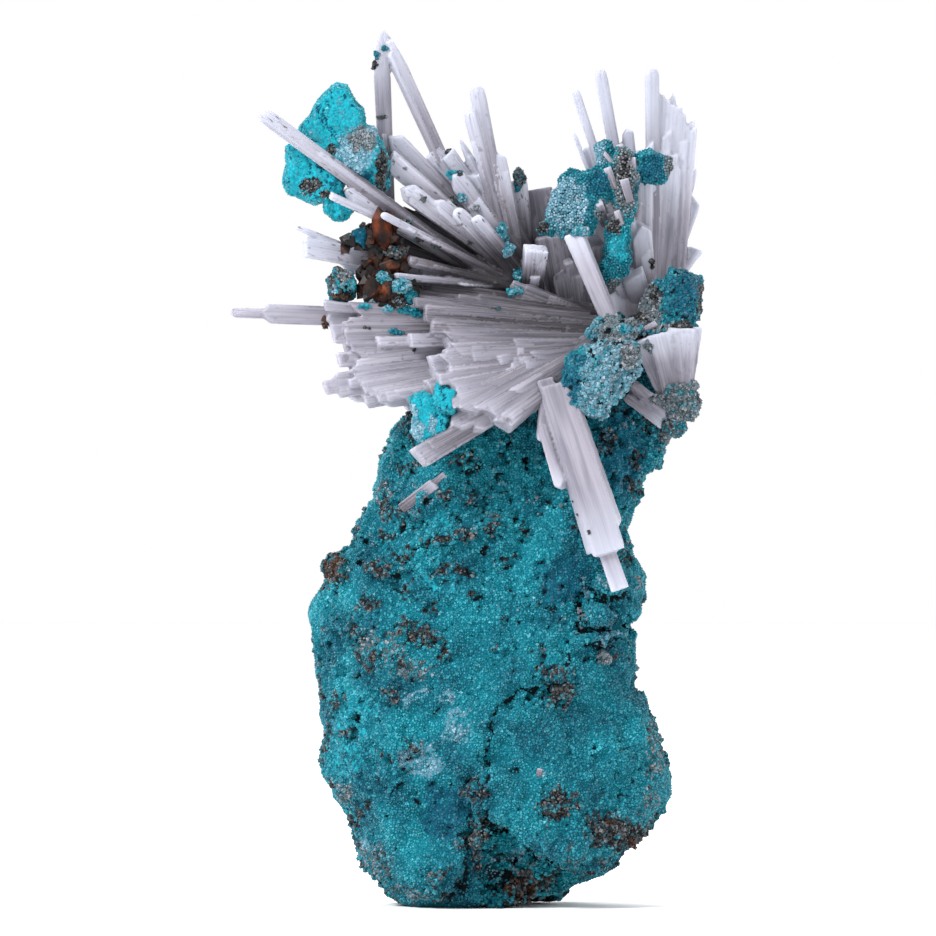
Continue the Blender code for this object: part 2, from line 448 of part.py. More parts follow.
# Colour, roughness and metallic value of each finish
FINISHES = {
    "chrysocolla": ((0.02, 0.30, 0.38, 1.0), 0.75, 0.0),
    "aragonite": ((0.80, 0.79, 0.84, 1.0), 0.35, 0.0),
    "pale_druse": ((0.30, 0.55, 0.58, 1.0), 0.6, 0.0),
    "dark_druse": ((0.05, 0.25, 0.28, 1.0), 0.6, 0.0),
    "bright_chrysocolla": ((0.04, 0.62, 0.72, 1.0), 0.7, 0.0),
    "limonite": ((0.12, 0.04, 0.015, 1.0), 0.5, 0.0),
}


def clear_scene():
    for obj in list(bpy.data.objects):
        bpy.data.objects.remove(obj, do_unlink=True)


def finish_material(name):
    colour, roughness, metallic = FINISHES[name]
    material = bpy.data.materials.get(name) or bpy.data.materials.new(name)
    material.use_nodes = True
    shader = material.node_tree.nodes["Principled BSDF"]
    shader.inputs["Base Color"].default_value = colour
    shader.inputs["Roughness"].default_value = roughness
    shader.inputs["Metallic"].default_value = metallic
    return material


def object_from(bm, name):
    """Moves a bmesh into a new object of the scene."""
    bmesh.ops.recalc_face_normals(bm, faces=bm.faces)
    mesh = bpy.data.meshes.new(name)
    bm.to_mesh(mesh)
    bm.free()
    obj = bpy.data.objects.new(name, mesh)
    bpy.context.scene.collection.objects.link(obj)
    return obj


def give_finish(obj, finish):
    obj.data.materials.clear()
    obj.data.materials.append(finish_material(finish))


def keep_evaluated(obj):
    """Replaces the object's mesh by what its modifiers make of it."""
    graph = bpy.context.evaluated_depsgraph_get()
    made = bpy.data.meshes.new_from_object(obj.evaluated_get(graph))
    obj.modifiers.clear()
    old, obj.data = obj.data, made
    made.name = obj.name
    bpy.data.meshes.remove(old)


def thin_out(obj, share, method="BEAUTY"):
    """Leaves this share of the object's triangles, taking away those that its form needs least."""
    split = obj.modifiers.new("triangles", "TRIANGULATE")
    split.min_vertices = 4
    split.ngon_method = method
    thin = obj.modifiers.new("fewer_faces", "DECIMATE")
    thin.ratio = share
    keep_evaluated(obj)


def is_closed(mesh):
    bm = bmesh.new()
    bm.from_mesh(mesh)
    closed = all(edge.is_manifold and edge.is_contiguous for edge in bm.edges)
    bm.free()
    return closed


def thin_while_closed(obj, shares):
    """Thins a piece to the smallest of the shares at which its skin is still closed, with either way
    of splitting a many-sided face."""
    whole = obj.data.copy()
    for share, method in [(share, method) for share in shares for method in ("BEAUTY", "CLIP")]:
        obj.data = whole.copy()
        thin_out(obj, share, method)
        if is_closed(obj.data):
            break
    print(obj.name, "keeps", share, "of its triangles by", method)


def skin_rings(bm, rings):
    """Joins rings of equal length, given in millimetres, with faces and closes both ends."""
    rows = [[bm.verts.new(Vector(point) * MM) for point in ring] for ring in rings]
    count = len(rings[0])
    for lower, upper in zip(rows, rows[1:]):
        for i in range(count):
            j = (i + 1) % count
            bm.faces.new((lower[i], lower[j], upper[j], upper[i]))
    bm.faces.new(list(reversed(rows[0])))
    bm.faces.new(rows[-1])


# The matrix


def station_at(height):
    """Left, right, front and back edge of the matrix at a height, between its stations."""
    for below, above in zip(MATRIX_STATIONS, MATRIX_STATIONS[1:]):
        if height <= above[0]:
            share = max(0.0, (height - below[0]) / (above[0] - below[0]))
            return [a + (b - a) * share for a, b in zip(below[1:], above[1:])]
    return MATRIX_STATIONS[-1][1:]


def ring_heights():
    """Heights of the matrix's rings, from just below the foot: the stations and the gaps between them."""
    heights = [-FOOT_ALLOWANCE, 0.0]
    for below, above in zip(MATRIX_STATIONS, MATRIX_STATIONS[1:]):
        parts = max(1, round((above[0] - below[0]) / RING_STEP))
        heights += [below[0] + (above[0] - below[0]) * (k + 1) / parts for k in range(parts)]
    return heights


def boxy(value, power=0.8):
    """A cosine or sine made boxier, for a cross-section between an ellipse and a rectangle."""
    return math.copysign(abs(value) ** power, value)


def beside(route, x, z):
    """Signed distance from a route in the x-z plane, positive on its left, and whether the foot of
    the perpendicular lies within the route."""
    best, signed, inside = 1e9, 0.0, False
    for (ax, az), (bx, bz) in zip(route, route[1:]):
        along_x, along_z = bx - ax, bz - az
        share = ((x - ax) * along_x + (z - az) * along_z) / (along_x**2 + along_z**2)
        held = min(1.0, max(0.0, share))
        away_x, away_z = x - ax - along_x * held, z - az - along_z * held
        distance = math.hypot(away_x, away_z)
        if distance < best:
            best = distance
            signed = math.copysign(distance, along_x * away_z - along_z * away_x)
            inside = held == share
    return signed, inside


def front_relief(x, z):
    """How far the front face stands out at a place, in millimetres."""
    stands = sum(
        height * math.exp(-(((x - mid_x) / reach_x) ** 2) - ((z - mid_z) / reach_z) ** 2)
        for mid_x, mid_z, reach_x, reach_z, height in FRONT_RELIEF
    )
    for crack in CRACKS:
        signed, inside = beside(crack.route, x, z)
        stands -= crack.depth * math.exp(-((signed / crack.half_width) ** 2))
        if inside and signed > 0:
            stands += crack.lip * math.exp(-((signed / crack.reach) ** 2))
    return stands


def matrix_point(angle, height):
    """One point of the matrix's skin, in millimetres. Angle 0 is +X and half a turn is -X, by -Y."""
    across, deep = boxy(math.cos(angle)), boxy(math.sin(angle))
    wander = noise.noise(Vector((across * 1.6, deep * 1.6, height * 0.06))) * SWAY * deep**2
    left, right, front, back = station_at(height + wander * min(1.0, max(0.0, height) / 5))
    x = (left + right) / 2 + (right - left) / 2 * across
    middle = (front + back) / 2
    y = middle - (back - front) / 2 * deep
    fade = min(1.0, max(0.0, height) / 2.5)
    if deep > 0:
        y -= front_relief(x, height) * deep**0.7 * fade
    place = Vector((x, y, height))
    for point, looks in BROKEN_FACES:
        normal = Vector(looks).normalized()
        beyond = (place - Vector(point)).dot(normal)
        if beyond > 0:
            place -= normal * beyond * 0.85
    lumps = 0.55 - noise.voronoi(place * 0.2)[0][0]
    grain = noise.fractal(place * 0.45 + Vector((7, 3, 1)), 0.8, 2.0, 3)
    push = (0.9 * lumps + 0.5 * grain) * fade
    return place + Vector((across * 0.45, -deep, 0.0)) * push


def make_matrix():
    """The matrix's rings, thinned to the faces its form needs and cut off flat at the foot."""
    bm = bmesh.new()
    angles = [math.pi * k / FRONT_SEGMENTS for k in range(FRONT_SEGMENTS)]
    angles += [math.pi * (1 + k / BACK_SEGMENTS) for k in range(BACK_SEGMENTS)]
    skin_rings(bm, [[matrix_point(angle, z) for angle in angles] for z in ring_heights()])
    matrix = object_from(bm, "chrysocolla_matrix")
    thin_out(matrix, MATRIX_SHARE_KEPT)
    bm = bmesh.new()
    bm.from_mesh(matrix.data)
    everything = list(bm.verts) + list(bm.edges) + list(bm.faces)
    bmesh.ops.bisect_plane(bm, geom=everything, plane_co=(0, 0, 0), plane_no=(0, 0, 1), clear_inner=True)
    bmesh.ops.holes_fill(bm, edges=[edge for edge in bm.edges if edge.is_boundary])
    bmesh.ops.recalc_face_normals(bm, faces=bm.faces)
    bm.to_mesh(matrix.data)
    bm.free()
    give_finish(matrix, "chrysocolla")
    return matrix


# The crystals and the lumps


def add_crystal(bm, crystal, index, margin):
    """One blade from its root to its tip: rings of a flattened hexagon, grown by a margin."""
    tip, root = Vector(crystal.tip), Vector(crystal.root)
    along = (tip - root).normalized()
    side = along.cross(Vector((0, 1, 0))).normalized()
    roll = math.radians(ROLL_SWING) * (2 * (index * GOLDEN_TURN % 1) - 1)
    side = Matrix.Rotation(roll, 3, along) @ side
    face = side.cross(along)
    stations = [(root - along * margin, ROOT_SHARE, ROOT_SHARE)]
    for before, share_width, share_thick in ENDS[crystal.end]:
        stations.append((tip - along * (before * crystal.width - margin), share_width, share_thick))
    turns = [2 * math.pi * k / BLADE_CORNERS for k in range(BLADE_CORNERS)]
    rings = []
    for centre, share_width, share_thick in stations:
        across = side * (crystal.width / 2 * share_width + margin)
        deep = face * (crystal.thick / 2 * share_thick + margin)
        rings.append([centre + across * math.cos(a) + deep * math.sin(a) for a in turns])
    skin_rings(bm, rings)


def add_knot(bm, knot, margin):
    made = bmesh.ops.create_icosphere(bm, subdivisions=1, radius=1.0)
    for vert in made["verts"]:
        place = [vert.co[k] * (knot.reach[k] + margin) + knot.middle[k] for k in range(3)]
        vert.co = Vector(place) * MM


def add_flake(bm, flake, margin):
    """A rough lump of a given outline: the outline in its middle, smaller and rougher ones before and
    behind it."""
    count = len(flake.outline)
    mid_x = sum(point[0] for point in flake.outline) / count
    mid_z = sum(point[1] for point in flake.outline) / count
    middle, half = (flake.front + flake.back) / 2, (flake.back - flake.front) / 2 + margin
    rings = []
    for depth in PEBBLE_DEPTHS if flake.square < 2.7 else PLATE_DEPTHS:
        share = (1 - abs(depth) ** flake.square) ** (1 / flake.square)
        ring = []
        for x, z in flake.outline:
            out = Vector((x - mid_x, 0, z - mid_z))
            out *= 1 + margin / out.length
            place = Vector((mid_x, middle + depth * half, mid_z)) + out * share
            rough = noise.noise_vector(place * 0.8) * 0.9 * abs(depth)
            ring.append(place + rough)
        rings.append(ring)
    skin_rings(bm, rings)


def shells_of(group, margin):
    """The blades, knots and flakes of a group, each as an object of its own, in triangles, because
    a bent face that is cut may close wrongly."""
    adders = [(add_knot, (knot,)) for knot in group.knots]
    adders += [(add_crystal, (crystal, index)) for index, crystal in enumerate(group.crystals)]
    adders += [(add_flake, (flake,)) for flake in group.flakes]
    shells = []
    for adder, values in adders:
        bm = bmesh.new()
        adder(bm, *values, margin)
        bmesh.ops.triangulate(bm, faces=list(bm.faces))
        shells.append(object_from(bm, group.name))
    return shells


def apply_boolean(obj, other, operation):
    """Joins or cuts for good. The EXACT solver leaves open edges where many thin blades cross, so
    this is done with MANIFOLD."""
    modifier = obj.modifiers.new("join_or_cut", "BOOLEAN")
    modifier.operation = operation
    modifier.solver = "MANIFOLD"
    modifier.object = other
    keep_evaluated(obj)


def merged_group(group, margin=0.0):
    """A group's shells joined into one skin."""
    merged, *others = shells_of(group, margin)
    for shell in others:
        apply_boolean(merged, shell, "UNION")
        bpy.data.objects.remove(shell, do_unlink=True)
    return merged


def grown_matrix(matrix):
    """A copy of the matrix grown along its normals by a little more than the contact gap."""
    grown = bpy.data.objects.new("grown_matrix", matrix.data.copy())
    bpy.context.scene.collection.objects.link(grown)
    normals = [vert.normal.copy() for vert in grown.data.vertices]
    for vert, normal in zip(grown.data.vertices, normals):
        vert.co += normal * 1.3 * CONTACT_GAP * MM
    return grown


def box_of(obj):
    corners = [vert.co for vert in obj.data.vertices]
    lows = [min(corner[k] for corner in corners) for k in range(3)]
    highs = [max(corner[k] for corner in corners) for k in range(3)]
    return lows, highs


def boxes_meet(first, second):
    (low_a, high_a), (low_b, high_b) = box_of(first), box_of(second)
    return all(low_a[k] <= high_b[k] and low_b[k] <= high_a[k] for k in range(3))


def keep_main_body(obj):
    """Drops the crumbs that a cut leaves beside the main body."""
    bm = bmesh.new()
    bm.from_mesh(obj.data)
    unseen, bodies = set(bm.verts), []
    while unseen:
        body, edge_of_body = [], [unseen.pop()]
        while edge_of_body:
            vert = edge_of_body.pop()
            body.append(vert)
            near = {edge.other_vert(vert) for edge in vert.link_edges} & unseen
            unseen -= near
            edge_of_body += near
        bodies.append(body)
    bodies.sort(key=len)
    for body in bodies[:-1]:
        high = max(vert.co.z for vert in body) / MM
        low = min(vert.co.z for vert in body) / MM
        print(f"{obj.name} drops a crumb of {len(body)} points from z {low:.1f} to {high:.1f}")
        bmesh.ops.delete(bm, geom=body, context="VERTS")
    bm.to_mesh(obj.data)
    bm.free()


def main():
    clear_scene()
    noise.seed_set(NOISE_SEED)
    matrix = make_matrix()
    print(matrix.name, len(matrix.data.polygons), "faces")
    cutters = [grown_matrix(matrix)]
    for group in GROUPS:
        piece = merged_group(group)
        piece.name = group.name
        for cutter in cutters:
            if boxes_meet(piece, cutter):
                apply_boolean(piece, cutter, "DIFFERENCE")
        keep_main_body(piece)
        if len(group.crystals) > 1:
            thin_while_closed(piece, CRYSTAL_SHARES_TRIED)
        if not group.crystals:
            thin_while_closed(piece, FLAKE_SHARES_TRIED)
        give_finish(piece, group.finish)
        print(piece.name, len(piece.data.polygons), "faces")
        cutters.append(merged_group(group, CONTACT_GAP))
    for cutter in cutters:
        bpy.data.objects.remove(cutter, do_unlink=True)


main()
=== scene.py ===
# %% [markdown]
# # Aragonite on chrysocolla
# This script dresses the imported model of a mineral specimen: a turquoise-blue rock from whose upper end
# sprays of white, bladed crystals grow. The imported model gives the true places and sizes. The script
# adds what the eye sees: sugar-like grains on the rock, ribs and broken tips on the crystals, and
# the finish of each mineral. Every length below is in millimetres unless it says otherwise.

# %% Load the frame
import math
import random
from collections import namedtuple

import bmesh
import bpy
import numpy as np
from mathutils import Matrix, Vector, noise
from mathutils.bvhtree import BVHTree


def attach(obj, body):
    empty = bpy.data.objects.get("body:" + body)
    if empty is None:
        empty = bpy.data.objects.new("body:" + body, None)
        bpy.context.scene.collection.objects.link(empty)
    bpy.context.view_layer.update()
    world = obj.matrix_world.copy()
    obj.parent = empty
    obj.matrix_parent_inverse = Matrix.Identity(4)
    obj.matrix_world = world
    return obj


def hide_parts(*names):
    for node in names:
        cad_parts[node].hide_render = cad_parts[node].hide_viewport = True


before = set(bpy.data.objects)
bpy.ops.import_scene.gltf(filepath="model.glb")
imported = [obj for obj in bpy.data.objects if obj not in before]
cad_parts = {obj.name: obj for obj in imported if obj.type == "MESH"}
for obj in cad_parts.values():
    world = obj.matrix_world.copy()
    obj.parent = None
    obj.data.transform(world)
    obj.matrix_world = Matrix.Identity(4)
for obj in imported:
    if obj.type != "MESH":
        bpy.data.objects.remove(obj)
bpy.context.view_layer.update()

MM = 0.001
noise.seed_set(5)
print("nodes:", ", ".join(sorted(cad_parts)))

# %% [markdown]
# ## Small helpers
# An operator works on everything that is selected, and loading leaves all the nodes selected. So each
# step first selects exactly one object, and in edit mode picks its faces or edges by their place.


# %% Helpers for selecting, adding and joining
def only(obj):
    """Selects one object and nothing else, and makes it the active one."""
    bpy.ops.object.select_all(action="DESELECT")
    obj.select_set(True)
    bpy.context.view_layer.objects.active = obj
    return obj


def add(operator, name, **settings):
    """Runs an operator that adds a mesh, with nothing else selected, and names what it made."""
    bpy.ops.object.select_all(action="DESELECT")
    operator(**settings)
    bpy.context.active_object.name = name
    return bpy.context.active_object


def put(name, data):
    """A new object with the given data, put in the scene at its origin."""
    obj = bpy.data.objects.new(name, data)
    bpy.context.scene.collection.objects.link(obj)
    return obj


def join(pieces, name):
    """Joins several objects into the first of them."""
    only(pieces[0])
    for piece in pieces:
        piece.select_set(True)
    bpy.ops.object.join()
    pieces[0].name = pieces[0].data.name = name
    return pieces[0]


# %% Helpers for editing
def edit(obj):
    """Opens an object in edit mode with nothing selected, and gives its bmesh."""
    only(obj)
    bpy.ops.object.mode_set(mode="EDIT")
    bpy.ops.mesh.select_all(action="DESELECT")
    return bmesh.from_edit_mesh(obj.data)


def done(obj):
    """Leaves edit mode."""
    bpy.ops.object.mode_set(mode="OBJECT")
    return obj


def modify(obj, kind, **settings):
    """Adds a modifier with its settings and applies it."""
    only(obj)
    modifier = obj.modifiers.new(kind.lower(), kind)
    for name, value in settings.items():
        setattr(modifier, name, value)
    bpy.ops.object.modifier_apply(modifier=modifier.name)


# %% Helpers for values on the corners of a mesh
def rows_of(items, field):
    """Three numbers for each item, as rows."""
    found = np.empty(len(items) * 3)
    items.foreach_get(field, found)
    return found.reshape(-1, 3)


def points_of(obj):
    """The corners of a mesh as rows of x, y and z, in millimetres."""
    return rows_of(obj.data.vertices, "co") / MM


def normals_of(obj):
    """The way each corner of a mesh faces, as rows of x, y and z."""
    return rows_of(obj.data.vertex_normals, "vector")


def store(obj, name, values, kind="FLOAT"):
    """Keeps one value for each corner of a mesh, for materials and for the sprinkled grains."""
    slot = obj.data.attributes.get(name) or obj.data.attributes.new(name, kind, "POINT")
    field = "vector" if kind == "FLOAT_VECTOR" else "value"
    slot.data.foreach_set(field, np.ravel(values).astype(np.float32))


def hand_in(obj, slot, *nodes):
    """Says what a finished piece rides on and the nodes it stands for, which it hides. The slot is not used.
    """
    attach(obj, "root")
    if nodes:
        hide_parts(*nodes)
    obj.data.calc_loop_triangles()
    print(obj.name, len(obj.data.loop_triangles), "triangles")
    return obj


# %% [markdown]
# ## Materials
# The rock and its grains share a set of masks, each from 0 to 1 on every corner of the mesh: brown
# and rusty crust, pale dust, grey crust, vivid fresh chrysocolla, deep smooth chrysocolla, and
# painted shade in gaps, cracks and hollows. On the lit left facet the vivid mask is painted light.
# The materials turn those masks into colour, and noise breaks each colour up. The masks follow
# the surface, so the same two materials finish every rocky piece. A painted picture would do it too,
# but masks need no unwrapping and stay sharp in a close view.


# %% Helpers for node trees
STUDIO = 0.8  # the studio light is brighter than plain daylight, so colours are taken down by this


def srgb(red, green, blue):
    """A colour as the eye reads it off a screen, from 0 to 255, as the linear colour shaders want."""
    linear = [((c / 255 + 0.055) / 1.055) ** 2.4 if c > 10 else c / 3295 for c in (red, green, blue)]
    return [STUDIO * value for value in linear] + [1.0]


def new_material(name, roughness, **shader_values):
    """A material with its shader's plain values set, its tree and its shader."""
    material = bpy.data.materials.new(name)
    material.use_nodes = True
    tree = material.node_tree
    shader = tree.nodes["Principled BSDF"]
    shader.inputs["Roughness"].default_value = roughness
    for key, value in shader_values.items():
        shader.inputs[key.replace("_", " ")].default_value = value
    return material, tree, shader


def give(tree, socket, value):
    """Joins a socket to another one, or sets it to a plain value."""
    if isinstance(value, bpy.types.NodeSocket):
        tree.links.new(value, socket)
    else:
        socket.default_value = value


def node(tree, kind, inputs=(), **settings):
    """A node with its settings; inputs are rows of a socket and what it is given."""
    made = tree.nodes.new(kind)
    for name, value in settings.items():
        setattr(made, name, value)
    for key, value in inputs:
        give(tree, made.inputs[key], value)
    return made


# %% Helpers for values in a node tree
def mask(tree, name):
    """A value that is kept on the corners of the mesh."""
    return node(tree, "ShaderNodeAttribute", attribute_name=name).outputs["Fac"]


def own_place(tree):
    """Where a point of the surface lies in its object, in metres."""
    return node(tree, "ShaderNodeTexCoord").outputs["Object"]


def noise_value(tree, vector, scale, detail=3.0):
    """A noise texture's value. The scale is in features to the unit."""
    made = node(tree, "ShaderNodeTexNoise", [("Vector", vector), ("Scale", scale), ("Detail", detail)])
    return made.outputs["Fac"]


def times(tree, first, second, plus=0.0):
    """The product of two values, with a third added to it."""
    made = node(tree, "ShaderNodeMath", [(0, first), (1, second), (2, plus)], operation="MULTIPLY_ADD")
    return made.outputs[0]


# %% Helpers for mixing colours
def mix(tree, share, first, second, blend="MIX"):
    """Mixes two colours, each a plain colour or a socket, by a share."""
    inputs = [("Factor", share), (6, first), (7, second)]
    return node(tree, "ShaderNodeMix", inputs, data_type="RGBA", blend_type=blend).outputs[2]


def ramp(tree, value, *stops):
    """A colour ramp: each stop is a place from 0 to 1 and a grey level or a colour."""
    made = node(tree, "ShaderNodeValToRGB", [("Fac", value)])
    elements = made.color_ramp.elements
    while len(elements) < len(stops):
        elements.new(0.5)
    for element, (place, colour) in zip(elements, stops):
        element.position = place
        element.color = colour if hasattr(colour, "__len__") else (colour, colour, colour, 1.0)
    return made.outputs["Color"]


def relief(tree, shader, height, strength, depth):
    """Lets light fall as if the surface had fine relief of this depth, in millimetres."""
    inputs = [("Height", height), ("Strength", strength), ("Distance", depth * MM)]
    bump = node(tree, "ShaderNodeBump", inputs)
    tree.links.new(bump.outputs["Normal"], shader.inputs["Normal"])


# %% The colours of the zones
SKIN, FOOT, TIP = 1, 2, 3
# The tip colours are paler than the foot colours: a painted highlight on each grain's tip.
ZONES = (  # the mask, and its colour on the skin, on the foot of a grain and on the tip of a grain
    ("vivid", (24, 156, 174), (0, 138, 156), (88, 196, 208)),
    ("deep", (0, 74, 96), (0, 80, 104), (14, 126, 144)),
    ("pale", (78, 128, 146), (96, 146, 166), (178, 202, 214)),
    ("grey", (70, 82, 84), (90, 104, 112), (178, 174, 182)),
    ("brown", (24, 24, 27), (34, 35, 38), (138, 138, 140)),
    ("rust", (42, 23, 14), (46, 26, 17), (108, 70, 48)),
    # The last row is painted shade, for cracks, hollows and shadows.
    ("gap", (4, 18, 24), None, None),
)
PICK_WEIGHT = 0.7


def zone_colour(tree, base, part):
    """Lays the zones' colours over a base. Every corner and grain has a chance of its own that nudges
    the mask, so that whole grains take one colour or the other."""
    pick = mask(tree, "pick")
    for zone in ZONES:
        if zone[part]:
            nudged = times(tree, pick, PICK_WEIGHT, mask(tree, zone[0]))
            limits = [("Value", nudged), ("From Min", 0.72), ("From Max", 0.98)]
            share = node(tree, "ShaderNodeMapRange", limits).outputs[0]
            base = mix(tree, share, base, srgb(*zone[part]))
    return base


def two_blues(tree, dark, light):
    """Two colours of the rock in soft clouds a few millimetres wide."""
    clouds = ramp(tree, noise_value(tree, own_place(tree), 170.0), (0.35, 0.0), (0.65, 1.0))
    return mix(tree, clouds, srgb(*dark), srgb(*light))


# %% [markdown]
# ### Rock skin
# Between the grains the skin lies in shade and is darker than them. It is dull and a little rough. The
# mesh could carry that roughness too, but a bump from noise costs no faces.

# %% Rock skin
rock_skin, tree, shader = new_material("rock_skin", 0.85, Specular_IOR_Level=0.15)
colour = zone_colour(tree, two_blues(tree, (0, 66, 84), (0, 106, 122)), SKIN)
speckle = ramp(tree, noise_value(tree, own_place(tree), 3600.0, 2.0), (0.3, 0.6), (0.7, 1.3))
tree.links.new(mix(tree, 1.0, colour, speckle, "MULTIPLY"), shader.inputs["Base Color"])
relief(tree, shader, noise_value(tree, own_place(tree), 2600.0), 0.5, 0.12)
print("made", rock_skin.name)

# %% [markdown]
# ### Grains
# A grain is a tiny quartz crystal with chrysocolla under it. Its tip is painted pale, a painted highlight
# for the light that the clear crystal catches; its foot has the colour of the rock. Each grain has a shade of
# its own, and some are almost white. Clear glass would be truer but slow and noisy at this size, so painted
# light from foot to tip stands in for it.

# %% Grains
druse_grains, tree, shader = new_material("druse_grains", 0.45, Specular_IOR_Level=0.3)
foot = zone_colour(tree, two_blues(tree, (0, 86, 104), (0, 128, 144)), FOOT)
tips = zone_colour(tree, two_blues(tree, (24, 146, 166), (78, 190, 204)), TIP)
own = ramp(tree, mask(tree, "shade"), (0.0, 0.0), (0.6, 0.2), (1.0, 1.0))
lit = times(tree, mask(tree, "tip"), own)
tree.links.new(mix(tree, lit, foot, tips), shader.inputs["Base Color"])
print("made", druse_grains.name)

# %% [markdown]
# ### Aragonite
# The crystals are milky and let light wander through them, so the shader has subsurface scattering.
# Every crystal carries its own coordinates in millimetres (across, through and along it). Noise that
# is stretched along the crystal gives the fine ribs of its needles. Towards the root dust lies in the
# grooves between them, and painted shade is laid over it where the blades crowd together, so the
# crystals turn a dark, purplish grey there. The tips are painted lighter, a painted glow of light shining
# through them. Each cluster has its own share of dust and painted shade: the spray above the rusty
# crumbs gets most, the blades in front of the rock hardly any.
# Modelled needles would need millions of faces, and the noise shows them just as finely.

# %% Aragonite: milk and ribs
aragonite, tree, shader = new_material(
    "aragonite",
    0.5,
    Subsurface_Weight=0.7,
    Subsurface_Radius=(1.0, 0.96, 1.0),
    Subsurface_Scale=1.2 * MM,
    Specular_IOR_Level=0.3,
)
blade = node(tree, "ShaderNodeAttribute", attribute_name="blade").outputs["Vector"]


def stretched(across, along, detail=3.0):
    """Noise with this many features to the millimetre across a crystal, and this many along it."""
    mapping = node(tree, "ShaderNodeMapping", [("Vector", blade), ("Scale", (across, across, along))])
    return noise_value(tree, mapping.outputs["Vector"], 1.0, detail)


outward, dust = mask(tree, "along"), mask(tree, "dust")
ribs = stretched(5.0, 0.05, 4.0)
milk = ramp(tree, stretched(0.9, 0.1), (0.35, 0.0), (0.65, 1.0))
body = mix(tree, milk, srgb(144, 142, 157), srgb(180, 176, 189))
# The tips are painted lighter, a painted glow; towards the root the colour darkens with dust and painted
# shade.
tipped = mix(tree, ramp(tree, outward, (0.6, 0.0), (1.0, 1.0)), body, srgb(198, 201, 216))
root_dirt_and_shade = times(tree, ramp(tree, outward, (0.0, 1.0), (0.35, 0.6), (0.75, 0.0)), dust)
rooted = mix(tree, root_dirt_and_shade, tipped, srgb(62, 58, 66))
faint, plain = ramp(tree, ribs, (0.38, 0.92), (0.52, 1.0)), ramp(tree, ribs, (0.38, 0.8), (0.52, 1.0))
clean_and_lit = mix(tree, dust, faint, plain)
dark_ribs = ramp(tree, ribs, (0.42, 0.3), (0.56, 1.0))
ribbed = mix(tree, 1.0, rooted, mix(tree, root_dirt_and_shade, clean_and_lit, dark_ribs), "MULTIPLY")
own = ramp(tree, mask(tree, "shade"), (0.0, 0.84), (1.0, 1.0))
shaded = mix(tree, 1.0, ribbed, own, "MULTIPLY")
relief(tree, shader, ribs, 0.28, 0.08)

# %% Aragonite: specks and flecks of dirt, and painted shade in the seams
specks = ramp(tree, noise_value(tree, own_place(tree), 900.0, 5.0), (0.62, 0.0), (0.7, 0.6))
speckled = mix(tree, times(tree, specks, dust), shaded, srgb(98, 92, 98))
# Seams and clefts get painted shade, darkest near the root.
seam_shade = times(tree, mask(tree, "groove"), times(tree, root_dirt_and_shade, 0.8, 0.16))
seam_shaded = mix(tree, seam_shade, speckled, srgb(50, 45, 52))
flecks = ramp(tree, stretched(2.4, 0.6, 6.0), (0.62, 0.0), (0.69, 0.6))
tree.links.new(mix(tree, times(tree, flecks, dust), seam_shaded, srgb(84, 76, 80)), shader.inputs["Base Color"])
print("made", aragonite.name)

# %% [markdown]
# ### Limonite and amber
# The rusty crumbs are glassy: nearly black where they are thick, orange brown where light comes
# through an edge. The clearest ones look like amber. Real transparency would turn such small crumbs
# black, so one helper makes both finishes from noise and three colours.


# %% Limonite and amber
def rusty_colour(tree, shader, scale, *stops):
    """Noise that runs through three colours, each at its place from 0 to 1."""
    clouds = noise_value(tree, own_place(tree), scale, 5.0)
    colour = ramp(tree, clouds, *((place, srgb(*colour)) for place, colour in stops))
    tree.links.new(colour, shader.inputs["Base Color"])


limonite, tree, shader = new_material(
    "limonite", 0.45, Subsurface_Weight=0.2, Subsurface_Scale=0.5 * MM, Specular_IOR_Level=0.2
)
rusty_colour(tree, shader, 700.0, (0.42, (12, 9, 9)), (0.6, (46, 24, 16)), (0.74, (112, 54, 24)))
relief(tree, shader, noise_value(tree, own_place(tree), 1500.0), 0.5, 0.1)
amber, tree, shader = new_material("amber", 0.5, Specular_IOR_Level=0.15)
rusty_colour(tree, shader, 600.0, (0.42, (20, 12, 12)), (0.54, (62, 26, 14)), (0.7, (116, 52, 18)))
print("made", limonite.name, "and", amber.name)

# %% [markdown]
# ## Masks painted by place
# On the real rock the brown crusts, pale dust and vivid spots lie here and there. Each is one row in
# a table: where its middle is, seen from the front, and how far it reaches. Noise bends its rim. The
# sides and the back get blotches of the same kind from noise alone. Painting by hand would look the
# same, but a table can be read and changed.


# %% Noise for every corner
def soft_step(values, low, high):
    """0 below low, 1 above high and a smooth rise between them."""
    share = np.clip((values - low) / (high - low), 0.0, 1.0)
    return share * share * (3 - 2 * share)


def wander(points, size, amount, shift=0.0):
    """A smooth random shift for every point: size and amount are in millimetres."""
    return np.array([noise.noise_vector(Vector(p) / size + Vector((shift,) * 3)) for p in points]) * amount


def cloudiness(points, size, shift):
    """Fractal noise for every point, mostly between -1 and 1."""
    return np.array([noise.fractal(Vector(p) / size + Vector((shift,) * 3), 0.9, 2.0, 3) for p in points])


# %% Masks from tables and from the shape
def most(*masks):
    """The strongest of several masks at every corner."""
    return np.maximum.reduce(masks)


def blotches(points, rows, spread=1.0):
    """How far each point lies in the blotches (x, z, reach in x, reach in z), from 0 to 1."""
    found = np.zeros(len(points))
    for x, z, reach_x, reach_z in rows:
        aside, above = (points[:, 0] - x) / (spread * reach_x), (points[:, 2] - z) / (spread * reach_z)
        found = np.maximum(found, np.exp(-(aside**2) - above**2))
    return soft_step(found, 0.12, 0.75)


